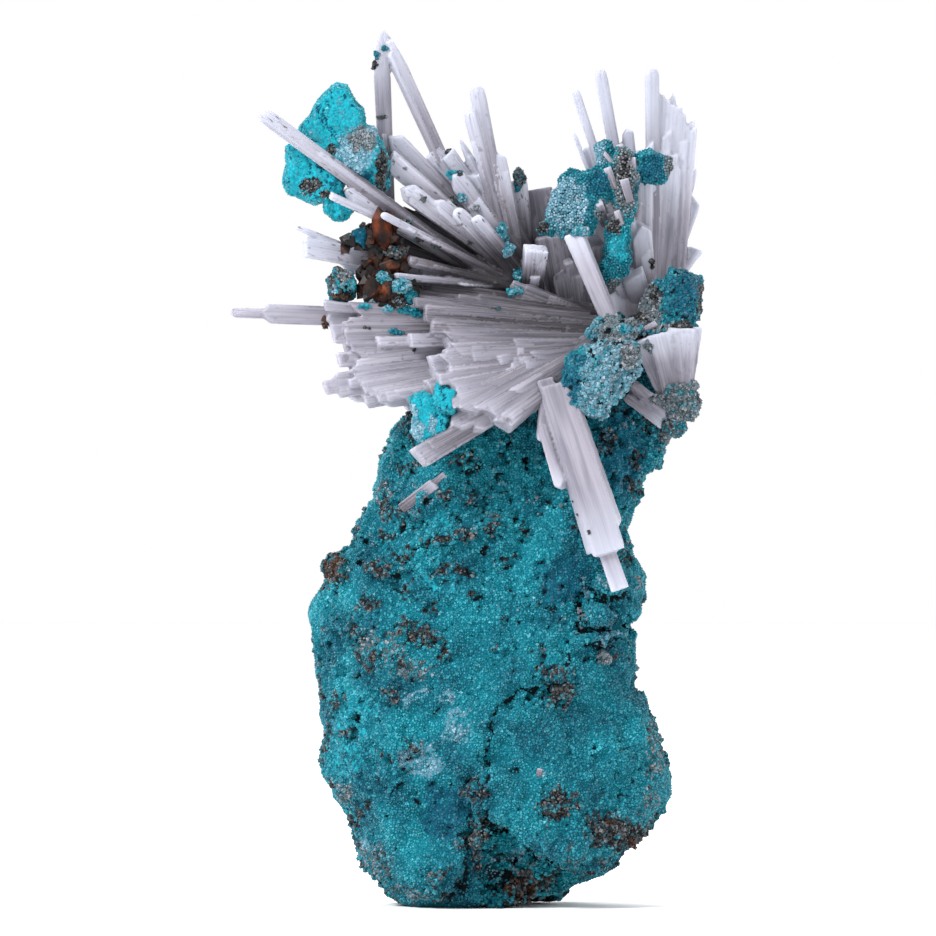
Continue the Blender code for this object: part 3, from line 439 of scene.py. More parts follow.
def beside(points, route):
    """The distance of every point from a route in x and z."""
    best = np.full(len(points), 1e9)
    flat = points[:, [0, 2]]
    for start, end in zip(route, route[1:]):
        start, along = np.array(start, float), np.array(end, float) - np.array(start, float)
        share = np.clip((flat - start) @ along / (along @ along), 0, 1)
        best = np.minimum(best, np.linalg.norm(flat - start - share[:, None] * along, axis=1))
    return best


def sunk_below(obj, rounds):
    """How deep each corner lies below the surface that smoothing the mesh gives, in millimetres."""
    smooth = put("smooth", obj.data.copy())
    modify(smooth, "SMOOTH", factor=0.5, iterations=rounds)
    depth = np.einsum("pi,pi->p", points_of(smooth) - points_of(obj), normals_of(obj))
    bpy.data.objects.remove(smooth, do_unlink=True)
    return depth


# %% [markdown]
# ## The rock's shape
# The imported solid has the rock's large forms in a few thousand flat triangles. A copy of it is merged,
# turned into an even net of small squares by a voxel remesh, and smoothed. Displace modifiers
# with procedural textures then add what the net is fine enough to hold: gentle swells, knobbly crusts
# where the brown mask is, and the narrow cracks. Sculpting could do it as well, but only by hand.


# %% Copy a node as a fine, even net
def fine_copy(node_name, name, voxel, smoothing):
    """A merged, remeshed and smoothed copy of a node's solid."""
    obj = put(name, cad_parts[node_name].data.copy())
    obj.data.materials.clear()
    edit(obj)
    bpy.ops.mesh.select_all(action="SELECT")
    bpy.ops.mesh.remove_doubles(threshold=1e-6)
    done(obj)
    modify(obj, "REMESH", mode="VOXEL", voxel_size=voxel * MM, use_smooth_shade=True)
    if smoothing:
        modify(obj, "SMOOTH", factor=0.6, iterations=smoothing)
    return obj


rock = fine_copy("chrysocolla_matrix", "chrysocolla_rock", voxel=0.33, smoothing=4)
rock.data.materials.append(rock_skin)
print(rock.name, len(rock.data.polygons), "faces")


# %% Textures and pushes for displacing
def texture(name, kind, size, **settings):
    """A procedural texture for displacing. Its size is in millimetres."""
    made = bpy.data.textures.new(name, kind)
    made.noise_scale = size * MM
    for key, value in settings.items():
        setattr(made, key, value)
    return made


def push(obj, height, form=None, middle=0.0, weights=None):
    """Moves each corner along its normal by a height in millimetres, times what the form's value has
    over its middle, times the corner's weight."""
    settings = {"texture": form, "texture_coords": "LOCAL"} if form else {}
    if weights is not None:
        group = obj.vertex_groups.new(name="weights")
        for index in np.flatnonzero(weights > 0.02):
            group.add([int(index)], float(weights[index]), "REPLACE")
        settings["vertex_group"] = group.name
    modify(obj, "DISPLACE", strength=height * MM, mid_level=middle, **settings)
    obj.vertex_groups.clear()


swells = texture("swells", "CLOUDS", 3.2, noise_depth=2)
ripples = texture("ripples", "CLOUDS", 1.3, noise_depth=2)
knobs = texture("knobs", "VORONOI", 1.5)
crumbs = texture("crumbs", "VORONOI", 0.9)

# %% [markdown]
# ## Where the rock's markings are
# A row of a blotch is its middle (x and z, seen from the front) and its reach in x and z. DENSE says
# where brown grains stand closely together. A bump also has its height, and a crack is a route of
# corners. The rows were set against the front view.

# %% Tables of colours
BROWN = (
    (-14.5, 36.5, 1.2, 1), (-10.3, 37.5, 1, 0.9), (-13, 40.6, 2.2, 0.7), (-9.4, 33.2, 2, 1.1),
    (-7.6, 32, 1.6, 1), (-7, 35.5, 1, 0.8), (-5.5, 31, 0.8, 0.9), (-14.6, 29.8, 1.3, 1.1),
    (-12, 25.5, 1, 0.8), (-18.4, 24.4, 0.8, 1.2), (-9.5, 19.5, 0.9, 0.8), (-1.8, 14.2, 1.4, 1.2),
    (-1.2, 9.6, 1.4, 2), (-2.6, 8, 1.6, 0.9), (7.8, 12.3, 2.1, 2), (13.6, 9.6, 1.9, 2),
    (16.6, 8.6, 2.6, 1.5), (10, 5.6, 1.2, 0.7), (13.6, 5.4, 1.1, 0.7), (8.2, 25.6, 1.8, 1.9),
    (7.8, 28.4, 1.8, 0.8), (13.6, 29.8, 0.8, 0.8), (5.6, 30.6, 0.6, 0.6), (12.4, 33.4, 1.5, 0.4),
    (-2.5, 49.2, 0.8, 0.7), (0.4, 46.6, 1, 0.8), (0.2, 45, 0.9, 0.6), (3.8, 45.2, 0.35, 1.1),
    (-3.2, 44.2, 1, 0.5), (-5.2, 44, 1, 0.6), (-7.4, 43.6, 0.8, 0.5), (-10.4, 42.2, 1.2, 0.5),
    (-5.4, 49, 0.9, 0.9), (9.8, 45.2, 0.7, 0.5), (17.6, 50.2, 0.9, 1.2), (-10, 52.6, 1.3, 0.9),
    (-3.4, 53.2, 1.8, 0.7), (5, 2.6, 3.2, 1.3), (-6.2, 4, 1.2, 1.1), (-6, 1.4, 1.4, 0.9),
    (-11.8, 47, 1.6, 0.8), (-9.4, 57.4, 1, 1.6), (14.2, 60.4, 1.3, 1.6), (19, 58.4, 1.2, 1.2),
    (-18.6, 40.4, 1.4, 1.7), (-16.6, 45, 1, 0.7), (-12.8, 44.6, 0.9, 0.6), (-8.4, 46.6, 0.8, 0.7),
    (-3.4, 40.4, 1, 0.7), (-6, 40, 0.9, 0.6), (-2, 37.6, 0.7, 0.6), (2.2, 42, 0.6, 0.8),
    (-16.4, 33.6, 1, 0.9), (-11, 29.4, 1.2, 0.8), (1.6, 34.4, 0.7, 0.6), (14, 56, 0.9, 1.4),
    (12, 53, 0.5, 1.2), (17.8, 53.6, 0.9, 1.2), (-17.4, 21, 0.7, 0.7), (-16, 10.4, 1, 1.4),
    (-1.5, 5.6, 0.8, 1.6), (1, 31, 0.5, 0.5), (-12.6, 18.2, 0.5, 0.5), (16, 42, 0.8, 1.2),
)
RUST = ((-18.6, 40.4, 1.3, 1.6), (17.4, 8.4, 1.8, 1), (4.6, 2, 2.2, 0.8), (14.6, 10.2, 0.7, 0.7))
PALE = (
    (-3.6, 22, 2.2, 1.9), (-5, 19.6, 1.8, 1.6), (-8, 17.2, 2.6, 1.5), (2.4, 5, 0.9, 1.3),
    (-6.2, 25.6, 1, 0.7), (-8.8, 24.6, 1.4, 0.9), (-9.8, 48, 1.5, 0.5), (-7.8, 49.6, 1.6, 0.6),
    (5.8, 16.3, 0.5, 0.6), (-15, 6, 1.8, 2.6), (2.6, 5, 1, 1.1), (12.4, 32.9, 1.3, 0.3),
    (14.2, 34.8, 0.4, 1.2), (12.6, 38.6, 1.8, 0.4),
)
GREY = (
    (19.8, 19.6, 1.6, 5.4), (-17.8, 13.8, 1.7, 2.2), (-13.6, 5.2, 1.9, 3.2), (-9.6, 2, 3, 1.2),
    (19.4, 12.6, 1.4, 2.2), (-13.4, 31, 3.6, 2.6), (-9, 28.6, 3, 1.8), (16.6, 38.6, 1.6, 0.9),
    (12, 35, 1, 0.6), (13.6, 29.8, 1.3, 1.2), (-8.8, 59.6, 1.6, 2.4), (21, 56, 1.2, 2), (9.4, 8, 1, 0.6),
    (-12.6, 49.6, 1.2, 2.4),
)
# The first and the fourth rows are painted light: they make the left facet brighter, where the light falls on
# it. The others are fresh chrysocolla.
VIVID_AND_LIT = (
    (-17, 20, 2.4, 6.5), (0.2, 3.4, 1.4, 2.4), (-6, 46.2, 1.6, 1.4), (-14.6, 24, 2, 2.2),
    (-6, 39.5, 2.6, 2.2),
)
DEEP = ((-5.5, 11.5, 3.2, 4.2), (9, 39, 4.2, 3.6), (16, 55, 4, 7))
DENSE = (
    (7.8, 12.3, 2.4, 2.2), (15.4, 9, 4, 2.6), (5, 2.4, 3.6, 1.8), (8.2, 25.6, 1.4, 1.6),
    (-18.6, 40.4, 1.8, 2), (-1.4, 8.8, 1, 1.6), (-8.6, 32.6, 1.6, 1),
)
print(len(BROWN), "brown blotches and", len(PALE), "pale ones")

# %% Tables of cracks, bumps and shadows
LOBE_RIM = ((-0.6, 11.6), (0.4, 10.3), (1.6, 9.6), (3.2, 8.1), (5.6, 6.4), (8.2, 5.1), (11, 4.2))
HAIR_CRACKS = (
    ((10, 27), (6, 26.2), (2.5, 25.3), (1.5, 24.5), (0.3, 23), (-0.3, 20), (-0.6, 17.5), (-0.2, 16)),
    ((-0.2, 16), (-1.5, 14), (-2.5, 12.5), (-1.8, 11), (0, 10.3), (1.5, 9.5), (3, 8), (5.5, 6.3)),
    ((5.5, 6.3), (8, 5), (10, 4)), ((11.2, 31), (12.6, 30.9), (14.4, 32), (16, 32.7)),
    ((12.6, 37.2), (14.2, 35.6), (14.6, 34), (16.2, 34.5)),
    ((10.6, 36.6), (10.1, 34.8), (10.8, 33.3), (12.6, 32.9), (13.8, 33.4), (14.2, 34.6)),
    ((-2.5, 12), (-3, 8), (-2.5, 5), (-3.5, 3), (-5, 1)),
    ((10.4, 36.9), (12.6, 37.6), (14.6, 37.1), (16.4, 37.4)),
    ((-19, 41.4), (-13, 41.2), (-3, 45.2), (0, 46.4)),
)
BUMPS = (
    (12.6, 34.9, 1.6, 1.2, 1.8), (12, 37.6, 1.5, 0.6, 1.5), (14.8, 38.3, 2.2, 0.6, 1.8),
    (16.2, 35.4, 1.5, 1.1, 0.8), (15, 32.9, 1.8, 0.6, 1.3), (11.6, 32, 1.6, 0.6, 1.2),
    (13.5, 29.5, 1.1, 1, 1), (8.4, 12.5, 2.4, 2.3, 0.7), (15, 9.6, 2.8, 2.3, 0.6), (-1.7, 14, 1.6, 2, 0.5),
    (-0.9, 9.3, 1.6, 2, 0.7), (-18.4, 40.4, 1.4, 1.6, 0.9), (-6.2, 4.2, 1.1, 1.3, 0.9),
    (-8.4, 1.8, 2, 0.9, 0.5), (9.2, 26.6, 2.2, 2, 0.6), (-9.6, 19.4, 1.1, 0.9, 0.6),
    (-12.2, 25.4, 1.2, 1, 0.6), (-8.6, 32.8, 2.6, 1.4, 0.6), (-14.6, 29.8, 1.4, 1.2, 0.5),
    (-3.2, 44.4, 1.2, 0.6, 0.6), (-6.4, 44, 1.6, 0.7, 0.6), (-13, 40.6, 2.4, 0.8, 0.5),
    (0.4, 46.4, 1.1, 1.1, 0.6), (-2.5, 49.2, 1, 0.8, 0.6), (-11.6, 47.2, 1.8, 0.9, 0.5),
    (-5.4, 49, 1, 1, 0.5),
)
SHADOWS = (
    (-3.3, 2.2, 1, 1.4), (-2.7, 4.8, 0.45, 1.6), (14.6, 36.9, 2, 0.4), (12.9, 33.2, 1.4, 0.35),
    (13.2, 31.2, 2.2, 0.35), (4.6, 6.2, 1.6, 0.5), (1.6, 8.6, 0.6, 1.2), (9.2, 30, 0.8, 0.5),
)
print(len(HAIR_CRACKS), "cracks and", len(BUMPS), "bumps")

# %% [markdown]
# ## Painting the rock
# Real crusts have no clean rims, so every table is read at points that noise has shifted a little. Away
# from the front the tables say nothing, and clouds of noise take over. The freckles are tiny pits with
# brown grains in them, thick on the gritty parts and rare on the smooth ones.

# %% Noise over the whole rock
points = points_of(rock)
facing = -normals_of(rock)[:, 1]
faces_front = soft_step(facing, -0.35, 0.15)
elsewhere = 1 - faces_front
margin = 1 - soft_step(facing, 0.1, 0.7)
bent = points + wander(points, 2.2, 0.9) + wander(points, 0.8, 0.6, 4.0)
wavy = points + wander(points, 1.8, 0.7) + wander(points, 0.7, 0.3, 4.0)
drifting = points + wander(points, 4.0, 2.6, 6.0) + wander(points, 1.4, 1.2, 2.0)
clouds_wide = cloudiness(points, 9.0, 3.0)
clouds_small = cloudiness(points, 2.2, 8.0)
spotted = cloudiness(points, 1.0, 17.0) + 0.25 * clouds_small
gritty = soft_step(cloudiness(points, 11.0, 31.0) + 0.02 * (points[:, 2] - 34.0), -0.3, 0.4)
rugged = 0.35 + 0.65 * gritty
print("gritty on", round(100 * float(gritty.mean())), "% of the rock")

# %% Crusts, freckles, cracks and dust
freckles = soft_step(spotted, 0.44, 0.6) * rugged
freckle_rims = soft_step(spotted, 0.26, 0.4) * (1 - soft_step(spotted, 0.42, 0.52)) * rugged
patchy = clouds_wide + 0.6 * clouds_small
crust = soft_step(patchy, 0.16, 0.4) * elsewhere
crust = most(crust, soft_step(patchy, -0.1, 0.15) * margin * faces_front)
brown_spots = blotches(bent, BROWN, 1.38)
brown = np.clip(most(brown_spots * faces_front, crust) + 0.9 * freckles, 0, 1)
down_right = (-0.4, 0, 0.5)  # reading a mask from up left of a point puts the mask down right of it
# Painted shadow: down right of each brown crust the rock is coloured dark, as if the crust cast a shadow, and
# it sinks there too.
shadow_below_crust = np.clip(blotches(bent + down_right, BROWN, 1.2) - brown_spots, 0, 1) * faces_front
cracks = most(*(np.exp(-((beside(wavy, route) / 0.2) ** 2)) * faces_front for route in HAIR_CRACKS))
dusty = soft_step(cloudiness(points, 6.0, 12.0), 0.1, 0.6)
powder = blotches(drifting, PALE, 1.25) * faces_front * np.clip(0.5 + 0.5 * clouds_small, 0.2, 0.62)
grey = blotches(bent, GREY) * faces_front
print("freckles on", round(100 * float(freckles.mean())), "% of the rock")

# %% The masks that the materials read
rusty_crust = crust * soft_step(clouds_small, 0.3, 0.7)
grey_elsewhere = soft_step(-clouds_wide, 0.3, 0.6) * elsewhere
shadows = blotches(bent, SHADOWS) * faces_front
masks = {
    "brown": (0.53 + 0.17 * most(blotches(bent, DENSE), elsewhere)) * brown,
    "rust": most(blotches(bent, RUST) * faces_front, rusty_crust) * 0.5,
    "pale": most(powder, dusty * 0.18),
    "grey": most(most(grey, grey_elsewhere) * 0.5, 0.42 * most(freckle_rims, brown)),
    "vivid": most(blotches(bent, VIVID_AND_LIT), 0.4 * soft_step(-clouds_wide, 0.0, 0.5)) * 0.42,
    "deep": blotches(bent, DEEP) * faces_front * 0.7,
    # Painted shade: dark in the cracks, in the shadows of the table and below the crusts.
    "gap": most(soft_step(cracks, 0.5, 0.9), 0.8 * shadows + 0.7 * shadow_below_crust),
}
chance_of = np.random.default_rng(7)
store(rock, "pick", chance_of.random(len(points)))
for name, values in masks.items():
    store(rock, name, values)
    print(name, "covers", round(100 * float(values.mean())), "%")

# %% [markdown]
# ## Displacing the rock
# One displace modifier is used for each form, from the widest to the narrowest, and a vertex group keeps
# each to its place. The foot stays flat: its corners have no weight, and none may sink below zero. Under
# the lower lobe the rock falls back, as it does on the real piece, so the lobe throws a dark edge.

# %% Displace the rock
off_foot = soft_step(points[:, 2], 0.4, 2.0)
crusty = most(brown, 0.5 * grey, 0.5 * freckle_rims)
push(rock, 1.1, swells, 0.5, off_foot)
push(rock, 1.3, ripples, 0.5, rugged * off_foot)
push(rock, -0.7, knobs, 0.3, rugged * off_foot)
push(rock, -1.5, crumbs, 0.45, crusty * off_foot)
push(rock, -0.6, weights=most(freckles, 0.7 * shadow_below_crust) * off_foot)
tallest = max(row[4] for row in BUMPS)
raised = most(*(row[4] * blotches(bent, (row[:4],)) for row in BUMPS))
push(rock, tallest, weights=raised / tallest * faces_front * off_foot)
push(rock, -0.5, weights=cracks * off_foot)
print("displaced", rock.name)

# %% The hollow under the lobe, and the flat foot
rim_x, rim_z = np.array(LOBE_RIM).T
below_rim = np.interp(points[:, 0], rim_x, rim_z) - points[:, 2] + wander(points, 1.0, 0.4)[:, 2]
hollow = soft_step(below_rim, 0.0, 0.45) * soft_step(points[:, 0], -1.6, 0.2)
hollow *= 1 - soft_step(points[:, 0], 8.0, 12.0)
push(rock, -1.8, weights=hollow * faces_front)
for vertex in rock.data.vertices:
    vertex.co.z = max(0.0, vertex.co.z)
print("lowest point", round(float(points_of(rock)[:, 2].min()), 3))

# %% [markdown]
# ### Painted shade in the hollows, and paler high spots
# The hollows get painted shade, and the high spots are made a paler grey. How far a corner lies below a
# smoothed copy of the rock tells which of the two it is.

# %% Paint shade into the hollows and make the high spots paler
sunk = sunk_below(rock, 25)
print("sunk from", np.percentile(sunk, (2, 25, 50, 75, 98)).round(2))
# Painted shade in the hollows.
masks["gap"] = most(masks["gap"], 0.6 * soft_step(sunk, 0.1, 0.3))
masks["grey"] = most(masks["grey"], 0.32 * soft_step(-sunk, 0.12, 0.32) * rugged)
store(rock, "gap", masks["gap"])
store(rock, "grey", masks["grey"])
hand_in(rock, "chrysocolla", "chrysocolla_matrix")

# %% [markdown]
# ## Sugar on the rock
# The whole rock is covered with tiny quartz grains, each about half a millimetre across and a quarter of
# one from the next. One grain is modelled, a squat eight-faced crystal, one millimetre across before it
# is scaled. Geometry nodes scatter copies of it over the skin at an even distance, each turned and
# sized by chance, and turn them into real mesh.
# A bump texture would be cheaper, but only real grains break up the outline and catch the light.

# %% One grain
cone = {"vertices": 4, "radius1": 0.5 * MM, "depth": 0.5 * MM}
sharp_grain = add(bpy.ops.mesh.primitive_cone_add, "sharp_grain", **cone)
net = edit(sharp_grain)
for face in net.faces:
    face.select = len(face.verts) == 4
bmesh.update_edit_mesh(sharp_grain.data)
bpy.ops.mesh.poke()
net = bmesh.from_edit_mesh(sharp_grain.data)
for vert in net.verts:
    vert.select = vert.co.to_2d().length < 0.01 * MM and vert.co.z < 0
net.select_flush_mode()
bmesh.update_edit_mesh(sharp_grain.data)
bpy.ops.transform.translate(value=(0, 0, -0.35 * MM))
done(sharp_grain)
heights = points_of(sharp_grain)[:, 2]
store(sharp_grain, "tip", soft_step(heights, heights.min(), heights.max()))
print("one grain has", len(sharp_grain.data.polygons), "faces")


# %% The scattering nodes
def stored(tree, name):
    """A value that is kept on the corners of the skin."""
    made = node(tree, "GeometryNodeInputNamedAttribute", [("Name", name)], data_type="FLOAT")
    return made.outputs["Attribute"]


def scatter_tree(name, grain, spacing, smallest, largest, tilt, material=druse_grains):
    """Geometry nodes that replace a skin by grains standing on it. Spacing is in millimetres."""
    tree = bpy.data.node_groups.new(name, "GeometryNodeTree")
    for way in ("INPUT", "OUTPUT"):
        tree.interface.new_socket("Geometry", in_out=way, socket_type="NodeSocketGeometry")
    skin = tree.nodes.new("NodeGroupInput").outputs[0]
    densest = 4.0 / (spacing * MM) ** 2
    inputs = [("Mesh", skin), ("Distance Min", spacing * MM), ("Density Max", densest)]
    inputs.append(("Density Factor", stored(tree, "cover")))
    spread = node(tree, "GeometryNodeDistributePointsOnFaces", inputs, distribute_method="POISSON")
    limits = [(0, (-tilt, -tilt, 0)), (1, (tilt, tilt, 2 * math.pi))]
    turn = node(tree, "FunctionNodeRandomValue", limits, data_type="FLOAT_VECTOR").outputs[0]
    as_rotation = node(tree, "FunctionNodeEulerToRotation", [("Euler", turn)]).outputs[0]
    inputs = [("Rotation", spread.outputs["Rotation"]), ("Rotate By", as_rotation)]
    stand = node(tree, "FunctionNodeRotateRotation", inputs, rotation_space="LOCAL").outputs[0]
    limits = [(2, smallest), (3, largest), ("Seed", 3)]
    size = node(tree, "FunctionNodeRandomValue", limits, data_type="FLOAT").outputs[1]
    grown = node(tree, "ShaderNodeMath", [(0, stored(tree, "coarse")), (1, 1.0)], operation="ADD").outputs[0]
    scale = node(tree, "ShaderNodeMath", [(0, size), (1, grown)], operation="MULTIPLY").outputs[0]
    master = node(tree, "GeometryNodeObjectInfo", [("Object", grain)]).outputs["Geometry"]
    inputs = [("Points", spread.outputs["Points"]), ("Instance", master)]
    inputs += [("Rotation", stand), ("Scale", scale)]
    placed = node(tree, "GeometryNodeInstanceOnPoints", inputs).outputs[0]
    chance = node(tree, "FunctionNodeRandomValue", [("Seed", 9)], data_type="FLOAT").outputs[1]
    inputs = [("Geometry", placed), ("Name", "shade"), ("Value", chance)]
    each = {"data_type": "FLOAT", "domain": "INSTANCE"}
    shaded = node(tree, "GeometryNodeStoreNamedAttribute", inputs, **each).outputs[0]
    real = node(tree, "GeometryNodeRealizeInstances", [("Geometry", shaded)]).outputs[0]
    finish = node(tree, "GeometryNodeSetMaterial", [("Geometry", real), ("Material", material)]).outputs[0]
    tree.links.new(finish, tree.nodes.new("NodeGroupOutput").inputs[0])
    return tree


# %% Sprinkling a skin
def sprinkle(skin, name, tree, keep=None):
    """A new object of the grains that stand on a skin, or on the faces of it that keep picks."""
    grains = put(name, skin.data.copy())
    if keep:
        net = edit(grains)
        for face in net.faces:
            face.select = not keep(face.calc_center_median() / MM)
        bmesh.update_edit_mesh(grains.data)
        bpy.ops.mesh.delete(type="FACE")
        done(grains)
    modify(grains, "NODES", node_group=tree)
    return grains


# %% [markdown]
# ### The rock's grains in four parts
# Grains are left out where painted shade lies in cracks, hollows and shadows, and stand thinner on the brown
# crusts and in the pits. One object of all of them would be very heavy, so the skin is cut in four by simple
# rules.

# %% Sprinkle the rock in four parts
points = points_of(rock)
bare = 0.9 * masks["gap"] + 0.15 * brown + 0.3 * freckles
store(rock, "cover", np.clip(1 - bare, 0, 1) * soft_step(points[:, 2], 0.2, 0.6))
store(rock, "coarse", 0.05 * brown)
sugar = scatter_tree("sugar", sharp_grain, spacing=0.245, smallest=0.34, largest=0.72, tilt=0.5)
BEHIND = -1.5  # the y of the cut between front and back
HALFWAY = 31.0  # the z of the cut between low and high
PARTS = (
    ("sugar_front_low", lambda p: p.y < BEHIND and p.z < HALFWAY),
    ("sugar_front_high", lambda p: p.y < BEHIND and p.z >= HALFWAY),
    ("sugar_back_left", lambda p: p.y >= BEHIND and p.x < 0),
    ("sugar_back_right", lambda p: p.y >= BEHIND and p.x >= 0),
)
for name, keep in PARTS:
    hand_in(sprinkle(rock, name, sugar, keep), "chrysocolla")

# %% [markdown]
# ## Aragonite crystals
# A real spray is hundreds of flat needles grown side by side, so each blade has ribs along it and
# a broken, rounded or chisel-shaped tip. Six master blades are modelled from a disc: it is made
# boxy, raised in steps, ribbed, and its top is extruded, bisected or bevelled into a tip. A master
# is one unit wide and thick, and one unit long up to where its tip starts. Copies are stretched only
# below that height, so every tip keeps its shape. Plain boxes would be quicker, but all ends would be alike.


# %% A ribbed prism
BLADE_SIDES = 16
BLADE_STEPS = 6


def ribbed_prism(name, boxiness, groove):
    """A boxy disc raised in steps, with every third line of corners drawn in as a groove."""
    disc = {"vertices": BLADE_SIDES, "radius": 0.5, "fill_type": "NGON"}
    prism = add(bpy.ops.mesh.primitive_circle_add, name, **disc)
    modify(prism, "CAST", cast_type="CUBOID", factor=boxiness, use_z=False)
    edit(prism)
    bpy.ops.mesh.select_all(action="SELECT")
    for _ in range(BLADE_STEPS):
        bpy.ops.mesh.extrude_region_move(TRANSFORM_OT_translate={"value": (0, 0, 1 / BLADE_STEPS)})
    bpy.ops.mesh.select_all(action="SELECT")
    bpy.ops.mesh.normals_make_consistent(inside=False)
    net = bmesh.from_edit_mesh(prism.data)
    for vert in net.verts:
        turn = round(math.atan2(vert.co.y, vert.co.x) / (2 * math.pi) * BLADE_SIDES)
        vert.select = turn % 3 == 0
    net.select_flush_mode()
    bmesh.update_edit_mesh(prism.data)
    bpy.ops.transform.resize(value=(groove, groove, 1.0), center_override=(0, 0, 0))
    return done(prism)


# %% Three ways to make a tip
def raise_top(prism, steps):
    """Extrudes the top upwards again and again: each step is a rise and a share of the width."""
    net = edit(prism)
    top = max(vert.co.z for vert in net.verts)
    for face in net.faces:
        if all(vert.co.z > top - 1e-4 for vert in face.verts):
            face.select = True
    bmesh.update_edit_mesh(prism.data)
    for rise, share in steps:
        bpy.ops.mesh.extrude_region_move(TRANSFORM_OT_translate={"value": (0, 0, rise)})
        bpy.ops.transform.resize(value=(share, share, 1.0), center_override=(0, 0, 0))
    return done(prism)


def slice_top(prism, point, normal):
    """Cuts the top off along a plane and closes the cut."""
    edit(prism)
    bpy.ops.mesh.select_all(action="SELECT")
    bpy.ops.mesh.bisect(plane_co=point, plane_no=normal, clear_outer=True, use_fill=True)
    return done(prism)


def soften_top(prism, width):
    """Bevels the rim of every cut face near the top."""
    net = edit(prism)
    for edge in net.edges:
        high = min(vert.co.z for vert in edge.verts) > 1.0
        if high and len(edge.link_faces) == 2 and edge.calc_face_angle() > math.radians(25):
            edge.select = True
    bmesh.update_edit_mesh(prism.data)
    bpy.ops.mesh.bevel(offset=width, segments=2, affect="EDGES")
    return done(prism)


# %% Master blades by a table
BLADE_TABLE = (  # name, boxiness, groove, the rises and shares of the top, the cuts, and the bevel
    ("round", 0.45, 0.98, ((0.35, 0.94), (0.24, 0.86), (0.16, 0.74), (0.08, 0.56)), (), 0),
    ("blunt", 0.95, 0.985, ((0.35, 0.98),), (((0, 0, 1.22), (0.22, 0.1, 1.0)),), 0.02),
    ("slant", 0.95, 0.985, ((1.3, 0.97),), (((0, 0, 1.6), (0.95, -0.15, 1.0)),), 0.02),
    ("block", 0.96, 0.99, ((0.2, 0.99),), (), 0.025),
    ("chisel", 0.92, 0.985, ((0.6, 0.97), (0.6, 0.96)),
     (((0.12, 0, 1.8), (0.8, 0.2, 0.62)), ((0.0, 0, 1.9), (-0.7, 0.1, 1.0))), 0.035),
    ("point", 0.5, 0.96, ((0.9, 0.8), (0.8, 0.7), (0.6, 0.55), (0.3, 0.3)), (), 0),
)
BLADES = {}
for name, boxiness, groove, rises, cuts, bevel in BLADE_TABLE:
    master = raise_top(ribbed_prism(name + "_blade", boxiness, groove), rises)
    for point, normal in cuts:
        slice_top(master, point, normal)
    if bevel:
        soften_top(master, bevel)
    BLADES[name] = master
    print(master.name, len(master.data.polygons), "faces")

# %% [markdown]
# ## Laying out a spray
# One row of a table is one blade: its free tip, its buried root, its width and thickness, how it ends,
# and its share of dirt and painted shade where that isn't one. The rows are those of the imported solids,
# with small blades that only the looks need. A wide blade gets a jagged end of short strips. Thin steps lie
# on the faces of every blade and end well before its tip, as in the real bundles. On the real piece the
# blades of a cluster have grown together, with soft seams between them, so a voxel remesh makes them one
# skin.

# %% Rows, and a blade's own axes
Crystal = namedtuple("Crystal", "tip root width thick end dirt", defaults=(1.0,))
Sheet = namedtuple("Sheet", "tips roots thick jagged dirt", defaults=((1.0, 1.0),))
PLACED = []


def axes_of(crystal, roll):
    """A blade's tip and root, and its own axes: across it, through it and along it, turned by roll."""
    tip, root = Vector(crystal.tip), Vector(crystal.root)
    along = (tip - root).normalized()
    side = along.cross(Vector((0, 1, 0))).normalized()
    side = Matrix.Rotation(math.radians(roll), 3, along) @ side
    return tip, root, side, along.cross(side), along


# %% One blade
def place_blade(crystal, roll, shade, start=0.0, taper=0.82):
    """A copy of a master blade, stretched from its root and with its tip unstretched. start is where
    on the way from the root of the whole blade to its tip this piece begins, and taper its width at
    the root as a share of the width at the tip."""
    blade = put("blade", BLADES[crystal.end].data.copy())
    tip, root, side, through, along = axes_of(crystal, roll)
    length = (tip - root).length
    own = rows_of(blade.data.vertices, "co")
    shaft = length - (own[:, 2].max() - 1.0) * crystal.width
    height = np.where(own[:, 2] <= 1.0, own[:, 2] * shaft, shaft + (own[:, 2] - 1.0) * crystal.width)
    across = own[:, 0] * crystal.width * (taper + (1 - taper) * height / length)
    deep = own[:, 1] * crystal.thick * (max(taper, 0.6) + (1 - max(taper, 0.6)) * height / length)
    placed = np.array(root) + np.outer(across, side) + np.outer(deep, through) + np.outer(height, along)
    blade.data.vertices.foreach_set("co", np.ravel(placed * MM))
    store(blade, "number", np.full(len(own), len(PLACED)))
    PLACED.append((np.array(root), np.array([side, through, along]), length, shade, start, crystal.dirt))
    return blade


# %% Blades grown together
def nearest_blade(cluster):
    """A helper that tells which blade of a joined cluster lies nearest to each of some points."""
    faces = [tuple(face.vertices) for face in cluster.data.polygons]
    tree = BVHTree.FromPolygons([vertex.co.copy() for vertex in cluster.data.vertices], faces)
    numbers = np.empty(len(cluster.data.vertices))
    cluster.data.attributes["number"].data.foreach_get("value", numbers)
    of_face = numbers[[face[0] for face in faces]].astype(int)
    return lambda points: of_face[[tree.find_nearest(Vector(point) * MM)[2] for point in points]]


